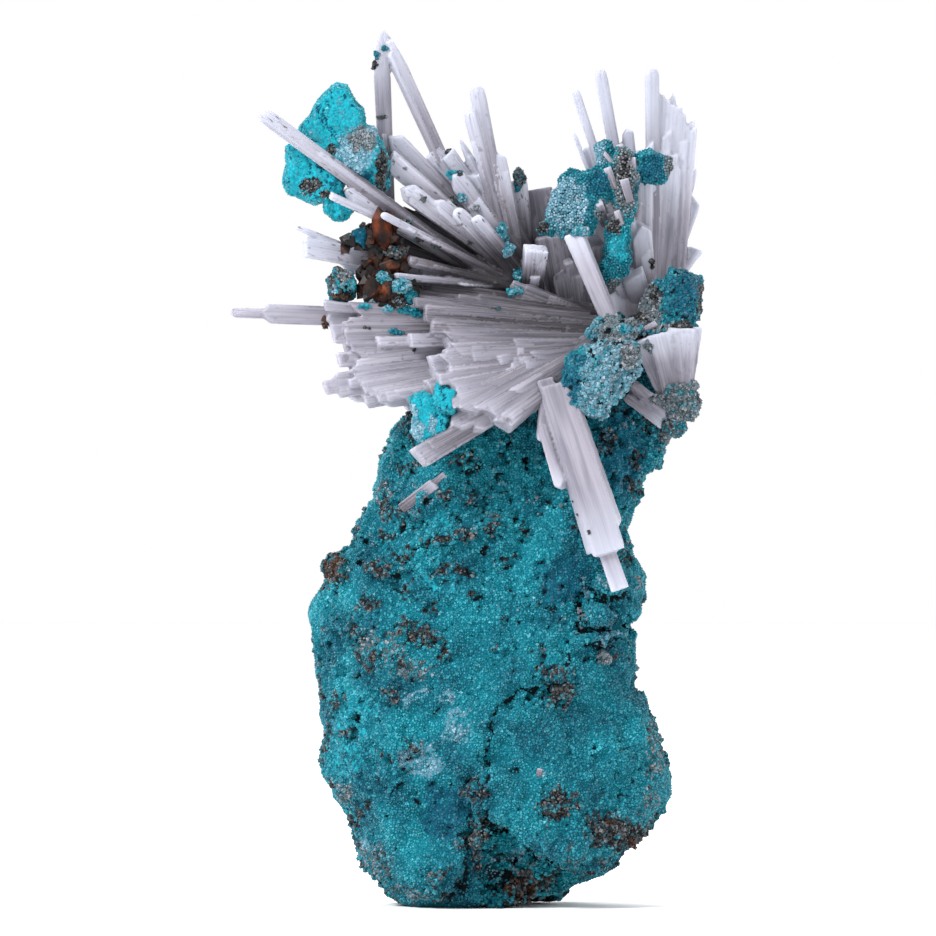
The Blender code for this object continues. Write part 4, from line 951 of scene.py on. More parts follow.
def grow_together(blades, name, voxel, dust, clean_and_lit):
    """Joins blades and grows one closed skin around them. Every corner of it gets the coordinates of
    the blade that lies nearest: across, through and along it, and how far out from its root it is."""
    cluster = join(blades, name)
    owner_of = nearest_blade(cluster)
    modify(cluster, "REMESH", mode="VOXEL", voxel_size=voxel * MM, use_smooth_shade=True)
    modify(cluster, "SMOOTH", factor=0.5, iterations=1)
    points = points_of(cluster)
    owner = owner_of(points)
    roots, axes, lengths, shades, starts, dirts_and_shades = (np.array(column)[owner] for column in zip(*PLACED))
    local = np.einsum("pij,pj->pi", axes, points - roots)
    outward = starts + (1 - starts) * np.clip(local[:, 2] / lengths, 0, 1)
    local[:, 0] += 8.0 * shades
    store(cluster, "blade", local, "FLOAT_VECTOR")
    # How far out a corner lies sets the painted glow at the tip, and the dust and painted shade at the root.
    store(cluster, "along", clean_and_lit * outward / np.maximum(1, dirts_and_shades))
    store(cluster, "shade", shades)
    store(cluster, "dust", dust * dirts_and_shades * (0.6 + 0.8 * shades))
    # Seams and clefts between the blades get painted shade: how far a corner lies below a smoothed copy says
    # how deep it lies.
    seam_shade = soft_step(sunk_below(cluster, 6), 0.015, 0.07)
    cleft_shade = soft_step(sunk_below(cluster, 60), 0.1, 0.45)
    print(name, "seams cover", round(100 * seam_shade.mean()), "%, clefts", round(100 * cleft_shade.mean()), "%")
    store(cluster, "groove", np.maximum(0.8 * seam_shade, cleft_shade))
    cluster.data.materials.append(aragonite)
    return cluster


# %% A jagged end for a wide blade
TOOTH_WIDTH = 0.9
FLAT_ENDS = ("block", "slant", "blunt")


def teeth_of(crystal, roll, chance):
    """A very wide blade: a whole body, and short strips in its face that give it a jagged end."""
    tip, root, side, through, along = axes_of(crystal, roll)
    width, length, own = crystal.width, (tip - root).length, chance.random()
    count = max(3, round(width / TOOTH_WIDTH))
    back = min(0.35 * length, 0.5 + 0.45 * width)
    body = Crystal(tip - along * back, root, width, crystal.thick, "block", crystal.dirt)
    blades = [place_blade(body, roll, own)]
    foremost, lean = chance.randrange(count), chance.choice((-1, 1))
    for k in range(count):
        share = 2 * (k + chance.uniform(0.3, 0.7)) / count - 1
        tooth = width / count * chance.uniform(1.0, 1.7)
        lag = back * chance.choice((0.0, 0.15, 0.4, 0.7, 0.85))
        if crystal.end == "chisel":
            lag = back * min(0.95, 0.45 * (1 + lean * share) + chance.uniform(0.0, 0.15))
        if k == foremost:
            lag = 0.0
        shift = side * share * (width - tooth) / 2 + through * chance.uniform(-0.05, 0.05)
        start = 1 - min(0.9, (back + chance.uniform(1.0, 6.0)) / length)
        thick = crystal.thick * (0.97 - 0.3 * share**2)
        ends = (tip + shift - along * lag, root + along * length * start + shift)
        row = Crystal(*ends, tooth, thick, chance.choice(FLAT_ENDS), crystal.dirt)
        blades.append(place_blade(row, roll + chance.uniform(-1, 1), own, start))
    return blades


# %% Thin steps on the faces of a blade
def steps_of(crystal, roll, chance, count):
    """Thin strips on the faces of a blade that end well before its tip."""
    tip, root, side, through, along = axes_of(crystal, roll)
    length = (tip - root).length
    steps = []
    for _ in range(count):
        width = max(0.2, crystal.width * chance.uniform(0.12, 0.45))
        thick = crystal.thick * chance.uniform(0.3, 0.45)
        shift = side * chance.uniform(-1, 1) * (crystal.width - width) / 2
        face = chance.choice((-1, 1))
        shift += through * face * ((crystal.thick - thick) / 2 + chance.uniform(0.02, 0.16))
        back, start = length * chance.uniform(0.05, 0.6), chance.uniform(0.0, 0.3)
        ends = (tip + shift - along * back, root + along * length * start + shift * 0.8)
        row = Crystal(*ends, width, thick, chance.choice(("blunt", "slant", "block")), crystal.dirt)
        steps.append(place_blade(row, roll + chance.uniform(-2, 2), chance.random(), start))
    return steps


# %% A sheet of strips
STRIP_STEP = 0.8


def along_line(line, count):
    """Points at even steps along a line with corners."""
    line = np.array(line, float)
    travelled = np.concatenate([[0.0], np.cumsum(np.linalg.norm(np.diff(line, axis=0), axis=1))])
    wanted = np.linspace(0.0, travelled[-1], count)
    return np.stack([np.interp(wanted, travelled, line[:, axis]) for axis in range(3)], 1)


def sheet_of(sheet, chance):
    """A continuous fan of flat strips that run together at the root, with thinner ones lying on it."""
    reach = np.linalg.norm(np.diff(np.array(sheet.tips, float), axis=0), axis=1).sum()
    count = round(reach / STRIP_STEP)
    tips, roots = along_line(sheet.tips, count), along_line(sheet.roots, count)
    taper = np.linalg.norm(roots[-1] - roots[0]) / reach
    blades = []
    for tip, root, dirt in zip(tips, roots, np.linspace(*sheet.dirt, count)):
        tip, root = Vector(tip), Vector(root)
        along = (tip - root).normalized()
        shade = chance.random()
        width = STRIP_STEP * chance.uniform(1.2, 2.4)
        tip -= along * chance.choice((0.0, 0.2, 0.5, 1.0, 2.0)) * sheet.jagged
        nudge = Vector((0, chance.uniform(-0.08, 0.08), 0))
        row = Crystal(tip + nudge, root + nudge, width, sheet.thick, chance.choice(FLAT_ENDS), dirt)
        blades.append(place_blade(row, chance.uniform(-2, 2), shade, 0.0, taper))
        if chance.random() < 0.28:
            nudge.y -= chance.uniform(0.08, 0.26)
            tip -= (tip - root) * chance.uniform(0.08, 0.6)
            width *= chance.uniform(0.6, 1.3)
            row = Crystal(tip + nudge, root + nudge, width, sheet.thick, row.end, dirt)
            blades.append(place_blade(row, chance.uniform(-2, 2), chance.random(), 0.0, taper))
    return blades


# %% A whole spray
VOXEL = 0.2
ROLL_SWING = 24.0
GOLDEN_TURN = 0.618034  # a share of a turn that never repeats, so neighbours lie at different rolls


def spray(name, node_name, rows, seed, sheets=(), dust=0.5, clean_and_lit=1.0, steps=0.8):
    """All blades of one cluster, grown together as one object that stands for its node. A row is the
    tip and the root, x, y and z each, then width, thickness, end, and its share of dirt and painted shade."""
    chance = random.Random(seed)
    blades = []
    for index, row in enumerate(rows):
        crystal = Crystal(row[:3], row[3:6], *row[6:])
        roll = ROLL_SWING * (2 * (index * GOLDEN_TURN % 1) - 1) / max(1.0, crystal.width - 1.0)
        if crystal.width < 3.0 or crystal.end in ("round", "block"):
            blades.append(place_blade(crystal, roll, chance.random()))
        else:
            blades += teeth_of(crystal, roll, chance)
        blades += steps_of(crystal, roll, chance, round(crystal.width * steps))
    for sheet in sheets:
        blades += sheet_of(sheet, chance)
    return hand_in(grow_together(blades, name, VOXEL, dust, clean_and_lit), "aragonite", node_name)


# %% [markdown]
# ### The broom of blades to the left
# The widest cluster: dozens of stout blades that fan out from the hub and cover each other. Three
# sheets of strips close it to one striped surface, as its fine needles do on the real piece. Blades by
# hand would fan as well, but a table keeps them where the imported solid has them.

# %% The broom of blades to the left
LEFT_FAN = (
    (-31, -5, 71, 8, -6, 69.8, 1.3, 0.9, "round"), (-27.6, -5.2, 70.9, 9, -6, 69.6, 2.4, 1.3, "chisel"),
    (-20, -7.2, 71.9, 10, -6.5, 68.6, 1.3, 1, "blunt"),
    (-10.5, -4.2, 73.2, 12, -5, 70.6, 1.4, 1.6, "blunt", 1.5),
    (-8.8, -7, 72.3, 12, -6, 70.2, 1.7, 1.8, "blunt", 1.5),
    (-6, -9.2, 70.9, 12, -7, 69.2, 1.9, 1.8, "chisel"), (-19.9, -6, 70.1, 11, -6, 69, 2.4, 1.9, "chisel"),
    (-19.2, -7.2, 68.5, 11, -6, 68, 2.4, 1.6, "blunt"), (-17.6, -6.6, 66.5, 11, -6, 67.4, 2, 1.6, "blunt"),
    (-18.4, -8, 65.3, 11, -6, 67, 1.8, 1.4, "blunt"), (-17, -6.8, 63.9, 11, -6, 66.6, 2.2, 1.6, "blunt"),
    (-20, -8.8, 62, 11, -7, 66.4, 3, 1.5, "blunt"), (-17, -7.2, 60.9, 11, -6, 65.8, 1.8, 1.5, "chisel"),
    (-15.2, -8.6, 60.4, 11, -7, 65.6, 1.8, 1.5, "blunt"),
    (-12.6, -9.4, 60.4, 11, -7, 65.4, 2.1, 1.5, "round"), (-10.6, -8.6, 60.1, 11, -7, 65, 2, 1.6, "blunt"),
    (-13.6, -9.6, 67.4, 11, -7, 67.6, 1.2, 1.2, "blunt"),
    (-9.8, -10.6, 67.6, 12, -7.6, 67.8, 1.7, 1.4, "blunt"),
    (-6.8, -11.6, 69, 12, -7.6, 68.6, 1.9, 1.5, "blunt"),
    (-5.4, -11.4, 66.6, 12, -8, 67.4, 2.4, 1.6, "blunt"),
    (-7.4, -11.2, 64.4, 12, -8, 66.6, 2.8, 1.6, "blunt"), (-5, -12.4, 62.2, 12, -8, 66, 3.2, 1.8, "blunt"),
    (-7.6, -10.8, 61.6, 11, -8, 65.4, 2.6, 1.5, "blunt"),
    (-4.4, -10.6, 59.8, 11, -7.6, 65, 2.6, 1.5, "blunt"),
    (-5, -12.4, 57.2, 10, -8, 64.6, 2.2, 1.6, "chisel"), (-8.9, -12.2, 53.4, 9, -8, 64, 2.8, 1.7, "blunt"),
    (-7.4, -12.9, 55, 9, -8.4, 64.2, 1.5, 1.2, "blunt", 1.2),
    (-2, -11.8, 56.9, 9, -8, 63.8, 1.5, 1.3, "chisel"),
    (-0.6, -12.6, 58.9, 10, -8, 64.8, 2.6, 1.7, "blunt"),
    (1.3, -12.6, 57.2, 9.6, -8, 64.2, 2.1, 1.6, "blunt"), (4, -11.4, 60, 10.6, -8, 65, 2.8, 1.8, "chisel"),
    (1, -11.6, 64, 13, -7, 67, 4.4, 2, "chisel"), (-4, -5, 71.4, 12, -5, 69.4, 4.4, 2, "blunt", 1.5),
    (-9, -2.8, 73.5, 12.4, -4, 70.8, 3.2, 1.6, "blunt", 1.5),
    (2, -4.6, 73.6, 12.8, -4.6, 69.6, 3.4, 1.6, "chisel", 1.5),
    (-15.5, 1.6, 69.4, 10.5, -3.2, 68.8, 2.2, 1.6, "blunt"),
    (-11, 3.4, 64.6, 10.5, -3.2, 67.4, 2.4, 1.8, "chisel"),
    (-12, 6.4, 71, 10.5, -3.2, 69.4, 1.8, 1.5, "round"),
)
FAN_SHEETS = (
    Sheet(
        ((-17.4, -8.2, 71.6), (-17.8, -8.4, 69.2), (-16.8, -8.6, 66.6), (-15.8, -8.8, 64.6),
         (-17.6, -9.6, 62.8), (-14.8, -9.6, 61.2), (-10.6, -10, 60.6)),
        ((13, -7.4, 70.4), (11.2, -8.8, 64.8)), 2, 0.7, (1.2, 0.8),
    ),
    Sheet(
        ((-9.6, -10.4, 72.2), (-8.2, -11.2, 70.4), (-6.4, -12, 68.4), (-5.2, -12.4, 66.4),
         (-6.8, -12.4, 64.4), (-6, -12.6, 62.4), (-4.8, -12.8, 60.8)),
        ((13.4, -8, 70), (11.6, -9.4, 65)), 2, 0.8, (1.6, 0.6),
    ),
    Sheet(
        ((-4.8, -12.9, 60), (-3.4, -13.2, 58.6), (-1, -13.3, 58.8), (0.8, -13.4, 57.4), (2.2, -13.4, 58)),
        ((12.6, -8.8, 68.4), (10.8, -9.8, 64.6)), 2, 0.5, (0.7, 0.9),
    ),
)
fan = spray("aragonite_fan", "aragonite_fan_left", LEFT_FAN, 11, FAN_SHEETS, dust=0.85, clean_and_lit=0.74, steps=0.6)

# %% [markdown]
# ### The spray up and to the left
# The tallest cluster, with a pair of spikes that share a tip. Its lower blades, which stand in the rusty
# crumbs,
# are the darkest of all: their rows have a share of dirt and painted shade above one, and those of the
# pale spikes have less. A second material could show that too, but one number in a row is enough.

# %% The spray up and to the left
UPPER_SPRAY = (
    (-27.4, -8.6, 94.8, 1.6, -2, 73.8, 2, 1.4, "round"),
    (-17.4, -5.8, 85.8, 2.6, -1.4, 73.8, 2.8, 1.3, "chisel"),
    (-19.2, -7.4, 85, 3, -1, 74.8, 0.9, 0.9, "blunt"),
    (-13.1, 3.2, 105.5, -0.9, 1.6, 78.6, 2.1, 1.5, "point", 0.3),
    (-13.2, 3, 105, -12.3, 1, 84, 2.2, 1.5, "point", 0.3),
    (-12.3, -2.4, 89.6, 3.6, -0.6, 76, 2.4, 1.7, "blunt"),
    (-10.6, -4.6, 86, 4, -1, 75.4, 2.4, 1.7, "chisel"),
    (-12, 0.4, 92.3, 3.4, 0.6, 76.4, 2.4, 1.7, "chisel"),
    (-7.4, 2.4, 90.6, 4, 0.8, 76.6, 2.8, 1.8, "blunt"),
    (-5.2, 0.4, 90.4, 4.4, -0.2, 76.6, 1.9, 1.6, "blunt"),
    (-4.6, -1.8, 87.8, 4.4, -0.6, 76.4, 2.4, 1.6, "chisel"),
    (-3.7, 0.8, 92.1, 4.2, 0.4, 76.4, 1.2, 1.1, "point"),
    (-1.7, -1.6, 98.3, 2.6, -0.8, 76.6, 2, 1.5, "round", 0.4),
    (-2.5, -2, 95.4, 2.4, -1, 76.6, 1.7, 1.4, "round", 0.5),
    (0.9, -1.2, 90.3, 3.8, -0.8, 76.2, 1.8, 1.4, "chisel"),
    (3, 1.6, 87.4, 4.6, 0.6, 75.4, 2.8, 1.4, "blunt"),
    (5.5, -3.6, 78.8, 4.8, -1.4, 73.2, 2.9, 2.4, "block"),
    (-4.2, -5.4, 83.3, 3.4, -1.6, 75.4, 1.9, 1.3, "round"),
    (-1.8, -5.6, 82.5, 4.2, -1.6, 75.4, 1.6, 1.2, "round"),
    (-6.8, -4.4, 84.4, 3.8, -1.4, 75.4, 1.8, 1.4, "chisel"),
    (-13, -8.4, 82.7, 3, -1.6, 74.6, 1, 0.8, "round"),
    (-9.9, -7, 77.2, 3, -1.6, 74.2, 1.2, 1, "blunt", 1.5),
    (-11.4, -7.6, 75.3, 3, -1.6, 74, 0.9, 0.8, "blunt"),
    (-8.6, -5.4, 75.5, 3, -1.6, 74.4, 1.6, 1, "blunt", 1.8),
    (-22.6, -3.6, 78.9, 2.6, -1, 74.2, 2.3, 1.5, "blunt"),
    (-23.9, -3.4, 81.5, -9, -2, 75.8, 0.8, 0.8, "point"), (-18.2, -2.4, 77, 2.6, -1, 74, 2, 1.5, "chisel"),
    (-15, -1.8, 75.6, 2.6, -1, 73.8, 2.4, 1.7, "blunt", 1.8),
    (-13.4, -0.6, 83, 3.2, 0.2, 75.2, 4.2, 2, "chisel", 2.2),
    (-12.4, -1.4, 79.2, 3, -0.4, 74.8, 4, 1.8, "chisel", 2.4),
    (-9.4, 0.8, 87, 3.8, 0.4, 75.8, 4.6, 1.8, "blunt"), (-2.6, 0.2, 88.6, 4, 0, 76, 5.2, 1.8, "chisel"),
    (-9, 8.8, 85.6, 3.6, 1.2, 75.8, 2.2, 1.7, "chisel"), (-12.6, 8.4, 79, 3.4, 1.2, 74.8, 2, 1.6, "blunt"),
    (-3.4, 9.8, 87, 4.2, 1.4, 76.2, 2.1, 1.6, "round"), (1.6, 11, 83.6, 4.6, 1.4, 75.4, 2, 1.6, "blunt"),
)
upper_spray = spray("aragonite_spray", "aragonite_spray_upper", UPPER_SPRAY, 12, dust=1.3)

# %% [markdown]
# ### The columns to the right
# Upright and nearly parallel columns, the whitest of the specimen, with two sheets of strips in front.
# They get little dust and painted shade, almost down to the root. More single blades could close the front,
# but a sheet is one row.

# %% The columns to the right
RIGHT_COLUMNS = (
    (10.2, 3.4, 98, 18, 3, 74.4, 1.1, 0.9, "round"), (9.8, 3, 93.4, 17, 3, 75, 0.6, 0.6, "point"),
    (13.2, 4, 100.5, 18, 3.4, 74.4, 1.6, 1.2, "round"),
    (11.9, 4.4, 91.6, 17.8, 4, 73.8, 2.4, 1.6, "blunt"),
    (16.5, 4.8, 93.5, 18.8, 4, 74, 1.5, 1.2, "chisel"), (15.2, 5.4, 91.6, 18.6, 4.2, 74, 3, 1.8, "chisel"),
    (19.5, 3.2, 100.6, 19.6, 2, 74, 1.8, 1.5, "round"),
    (21.2, 5.2, 97.1, 20.4, 4.2, 74, 2.4, 1.6, "blunt"),
    (22.1, 4.4, 97.8, 20.8, 3.4, 74, 1.2, 1.2, "point"), (24, 4.6, 94.6, 22, 3.6, 74, 1.4, 1.2, "slant"),
    (23, 5, 94.1, 21, 4, 74, 1.6, 1.3, "blunt"), (25, 6, 88.8, 22.4, 5, 81, 1, 0.9, "point"),
    (24.6, 5.6, 85.3, 20.8, 4.2, 74.6, 2.4, 1.4, "chisel"), (25, 4.6, 79, 21, 4, 73.6, 1.6, 1.3, "blunt"),
    (18.4, 2.4, 89.6, 19, 3, 73, 2.8, 1.6, "blunt"), (21.4, 3.2, 90.6, 20.2, 3.4, 73, 3.4, 1.8, "blunt"),
    (22.4, 3.8, 83.6, 20.6, 3.6, 73, 3.6, 1.8, "chisel"),
    (13.2, 1, 82.6, 17.8, 2.2, 72.4, 2.4, 1.5, "blunt"), (15.6, 0.6, 84, 18.4, 2, 72.4, 2.6, 1.5, "blunt"),
    (18, 0.2, 82, 19, 1.8, 72, 2.6, 1.5, "chisel"), (10.8, 3.2, 86, 16.8, 3.2, 73.4, 3.4, 1.6, "blunt"),
    (12.4, 1.8, 80.6, 17.4, 2.8, 71.6, 4.8, 1.5, "blunt"),
    (14.4, -1, 77.6, 18, 1.6, 71, 2.8, 1.7, "chisel"), (17, -1.4, 76, 18.8, 1.4, 71, 2.8, 1.7, "blunt"),
    (17.4, 11.4, 91, 19.2, 4.8, 73.6, 2.2, 1.6, "round"),
    (21.6, 12.2, 86.4, 20, 4.8, 73.6, 2, 1.6, "chisel"),
    (13.6, 11.6, 84.6, 18.6, 4.8, 73.6, 2, 1.6, "blunt"),
    (15.4, 1.4, 76, 16.8, -0.8, 66.2, 3.8, 1.6, "block"),
)
COLUMN_SHEETS = (
    Sheet(
        ((15, 1.4, 88), (17.4, 1.6, 89.6), (18.9, 2.4, 91.6)),
        ((16.8, 1.6, 72.6), (19, 2.2, 72.8)), 1.8, 0.35,
    ),
    Sheet(
        ((20.4, 4, 97.4), (21.2, 4.2, 97), (21.8, 4.2, 96), (22.4, 4.4, 97), (23.2, 4.4, 93.6),
         (24.2, 4.6, 94)),
        ((19, 2.2, 72.8), (22.8, 3, 73)), 1.8, 0.35,
    ),
)
looks = {"dust": 0.25, "clean_and_lit": 1.2, "steps": 0.5}
columns = spray("aragonite_columns", "aragonite_columns_right", RIGHT_COLUMNS, 13, COLUMN_SHEETS, **looks)

# %% [markdown]
# ### The plates in the middle
# Greyish plates and blocks close the gap between the spray and the columns. They are wide and blunt,
# and dust and painted shade reach far up on them. Boxes would do, but blades get steps and seams as their
# neighbours do.

# %% The plates in the middle
MIDDLE_PLATES = (
    (5.6, 3.2, 86, 8.2, 3.4, 71.2, 3.8, 1.4, "block"), (8.2, 3, 85.2, 10, 3.4, 71, 3.2, 1.4, "block"),
    (7.6, 0.6, 80.4, 9.4, 2.6, 70.4, 4.6, 1.6, "block"),
    (9, -1, 77.4, 10.2, 1.8, 70.2, 3.4, 1.8, "chisel"),
    (12.6, -0.6, 79, 13.4, 1.8, 69.6, 4.4, 1.8, "block"),
    (9.4, 8, 83.6, 10.6, 4, 72.4, 2.4, 1.6, "chisel"),
)
plates = spray("aragonite_plates", "aragonite_plates_middle", MIDDLE_PLATES, 14, dust=0.8, clean_and_lit=0.6)

# %% [markdown]
# ### Clean blades in front, and the stump
# One blade leans in front of the columns, a few hang down over the rock, and short thick crystals stand
# under the cap at the right. All of them are pale, with little dirt and painted shade, so they share one
# loop, one finish and few steps.

# %% Clean blades in front, and the stump
FRONT_BLADE = ((10, -3.6, 80.5, 15, -8, 68.4, 2.4, 1.5, "block"),)
LOWER_BLADES = (
    (12.7, -13.2, 42.5, 6.4, -11.8, 63, 2.4, 1.6, "block"),
    (14.1, -14.2, 42.4, 7.6, -12.6, 62.4, 3.9, 1.3, "block"),
    (14.4, -13.7, 43, 8.2, -12.2, 62.4, 3, 1.8, "block"),
    (15.3, -13.9, 44.8, 9.4, -12.4, 62, 1.3, 1.6, "slant"),
    (15.4, -13.7, 38, 11.6, -12.9, 49, 2.2, 1.5, "block"),
    (6, -11.9, 55.6, 6.4, -12, 61, 1.2, 1.2, "round"),
    (8.5, -13, 49.8, 6.2, -12, 57.4, 1.4, 1.5, "chisel"),
)
RIGHT_STUMP = (
    (23, -4.8, 69.2, 22.6, -4.2, 59.6, 3.4, 2.6, "block"),
    (20.4, -5, 68.6, 22.4, -4.4, 59.8, 3.4, 2.4, "block"),
    (18.4, -4.8, 68, 21.6, -4, 60.6, 3, 2.2, "block"), (24.2, -4.2, 69.4, 23, -3.6, 59.8, 2, 2.2, "block"),
    (21.6, -5, 68.8, 22.4, -4.6, 60.4, 2.6, 2.2, "block"),
    (22.6, -5.4, 57.6, 17, -4.4, 62.4, 1.6, 1.3, "chisel"),
    (20.8, -5, 57.6, 16.2, -4.4, 61, 1.3, 1.2, "blunt"),
    (24.4, -4.6, 60.2, 19.8, -4.2, 63.4, 1.9, 1.9, "blunt"),
)
CLEAN_CLUSTERS = (
    ("aragonite_front_blade", "aragonite_blade_front", FRONT_BLADE, 15, 0.1),
    ("aragonite_lower_blades", "aragonite_blades_lower", LOWER_BLADES, 16, 0.1),
    ("aragonite_stump", "aragonite_stump_right", RIGHT_STUMP, 17, 0.3),
)
clean_clusters = [spray(*cluster[:4], dust=cluster[4], steps=0.4) for cluster in CLEAN_CLUSTERS]

# %% [markdown]
# ## Druse-coated crumbs of rock
# The knob, the crust, the cap and the chips are crumbs of the rock that still cling to the crystals. Each
# is treated as the rock was: a fine even copy, masks, displacement, and grains on top. The crust gets
# round, coarse grains, the others the sharp ones.

# %% Grains for crumbs
lumps = texture("lumps", "CLOUDS", 1.6, noise_depth=2)
pimples = texture("pimples", "VORONOI", 0.8)
fine_sugar = scatter_tree("fine_sugar", sharp_grain, spacing=0.21, smallest=0.32, largest=0.72, tilt=0.8)
round_grain = add(bpy.ops.mesh.primitive_ico_sphere_add, "round_grain", subdivisions=1, radius=0.25 * MM)
store(round_grain, "tip", soft_step(points_of(round_grain)[:, 2], -0.1, 0.2))
coarse_sugar = scatter_tree("coarse_sugar", round_grain, spacing=0.26, smallest=0.5, largest=0.76, tilt=0.6)


# %% Masks of a crumb
MASKS = ("brown", "rust", "pale", "grey", "vivid", "deep", "gap")


def masks_of(bent, tables):
    """Every mask from its rows. A plain number first in a table is the mask everywhere else."""
    found = {}
    for name in MASKS:
        rows, whole = tables.get(name, ()), 0.0
        if rows and not hasattr(rows[0], "__len__"):
            whole, rows = rows[0], rows[1:]
        found[name] = np.maximum(0.85 * blotches(bent, rows), whole)
    return found


def fibrous(obj, points, bent, found, tables):
    """Runs fine fibres down the bare faces of a chip, and says how much of it grains cover: its rims
    and its crusted spots."""
    rim = 1 - soft_step(np.abs(normals_of(obj)[:, 1]), 0.35, 0.65)
    fibres = cloudiness(bent * (1.0, 1.0, 0.14) + 0.3 * points[:, [2, 1, 0]] * (1, 0, 0), 0.6, 9.0)
    found["deep"] = most(found["deep"], 0.62 * soft_step(-fibres, 0.0, 0.45))
    found["pale"] = most(found["pale"], 0.4 * soft_step(fibres, 0.15, 0.5))
    found["brown"] = most(found["brown"], 0.4 * rim * soft_step(fibres, 0.2, 0.5))
    push(obj, 0.28, middle=0.5, weights=np.clip(0.5 + 0.8 * fibres, 0, 1))
    return np.maximum(most(rim, blotches(bent, tables["pale"] + tables["brown"])), 0.06)


# %% A rough crumb from a node
def crumb(node_name, name, slot, voxel, rough, tables, pitted=1.0, bare=False, smoothing=3, sugar=fine_sugar):
    """Copies a node finely, paints it, roughens it and sprinkles it. A chip has bare faces."""
    obj = fine_copy(node_name, name, voxel, 1 if bare else smoothing)
    obj.data.materials.append(rock_skin)
    points = points_of(obj)
    bent = points + wander(points, 0.9, 0.5)
    found = masks_of(bent, tables)
    pits = pitted * soft_step(cloudiness(points, 0.9, 5.0), 0.35, 0.5)
    coarse = blotches(bent, tables.get("coarse", ()))
    cover = fibrous(obj, points, bent, found, tables) if bare else 0.97 * (1 - 0.85 * pits)
    clear = 1 - blotches(bent, tables.get("clear", ()))
    # Pits and the gaps between coarse grains get painted shade.
    found.update(pale=found["pale"] * clear, grey=found["grey"] * clear, gap=most(pits, 0.45 * coarse))
    found.update(pick=chance_of.random(len(points)), cover=cover, coarse=0.1 * coarse)
    for key, values in found.items():
        store(obj, key, values)
    push(obj, rough, lumps, 0.5)
    if not bare:
        push(obj, -0.4 * rough, pimples, 0.35)
    hand_in(obj, slot, node_name)
    hand_in(sprinkle(obj, name + "_grains", sugar), slot)
    return obj


# %% [markdown]
# ### The knob at the hub
# A bulging lump of pale druse sits where all the sprays meet. Its left flank is clear of dust and shows
# the deep teal below. A ball with grains would look alike, but the solid already has the true form and
# is round enough to need no smoothing.

# %% The knob at the hub
KNOB_MASKS = {
    "pale": (0.62,),
    "deep": ((9.4, 62.4, 1.5, 3.2), (10.6, 65.4, 1.2, 1)),
    "vivid": ((8.8, 61, 1, 1.6),),
    "clear": ((9.2, 62.2, 1.4, 3.6), (10.4, 65.8, 1.2, 1)),
    "grey": (0.34, (14.8, 68.8, 2.8, 1.8), (16.6, 65.6, 1.4, 2)),
    "brown": (0.1,),
}
knob = crumb("druse_knob", "knob", "pale_druse", 0.17, 1.5, KNOB_MASKS, pitted=0.9, smoothing=0)

# %% [markdown]
# ### The crust on the columns
# A string of pale and teal druse runs up in front of the columns. Its grains are round and coarse, so
# it looks like a crust of tiny balls. A ball of twenty faces does, as each is under half a millimetre.

# %% The crust on the columns
CRUST_MASKS = {
    "pale": (0.15, (9.2, 84, 3, 3.6), (13.2, 90, 1.2, 1.6)),
    "grey": (0.1, (16.2, 87, 1.7, 5), (14, 83, 1.8, 1.4), (21.4, 88.6, 0.7, 1.8), (15, 74.2, 1.2, 0.9)),
    "brown": (0.12, (6.3, 81.3, 0.8, 0.8), (16, 88.2, 0.9, 2.4), (14.8, 81.4, 1.2, 0.9)),
    "deep": (0.3, (12.8, 86.4, 1.8, 1.8), (19.6, 88.4, 1.8, 1.8)),
    "vivid": ((15.4, 79.2, 1.2, 2.4),),
    "coarse": ((9.2, 83.8, 3, 3.6), (16.2, 87, 1.5, 4.6), (14, 83, 1.6, 1.2)),
}
crust_settings = {"pitted": 0.4, "sugar": coarse_sugar}
crust_on_columns = crumb("druse_crust_upper", "crust", "pale_druse", 0.17, 1.0, CRUST_MASKS, **crust_settings)

# %% [markdown]
# ### The cap at the right
# The cap is a dark teal lump with pinkish grey and brown patches. Patches modelled apart would show
# seams, so masks colour one skin.

# %% The cap at the right
CAP_MASKS = {
    "grey": (0.1, (18.8, 71.8, 2, 3.6), (21, 69.2, 4, 0.6)),
    "brown": (
        0.25, (19.6, 73.4, 0.9, 1.4), (18.2, 70.4, 0.8, 1), (23, 69.4, 1.6, 0.6), (25.2, 72.6, 0.4, 2.6),
    ),
    "deep": (0.5, (23.2, 73.2, 2.4, 3.4)),
}
cap = crumb("druse_cap_right", "cap", "dark_druse", 0.17, 1.1, CAP_MASKS)

# %% [markdown]
# ### The bright chips and the crumb at the left
# Two chips broke off fresh chrysocolla: their faces are bare and finely fibrous, and little more than
# their rims carries grains. The fibres are too fine to model one by one, so stretched noise gives them.
# The crumb at the left is druse again, grey and brown with a rusty foot.

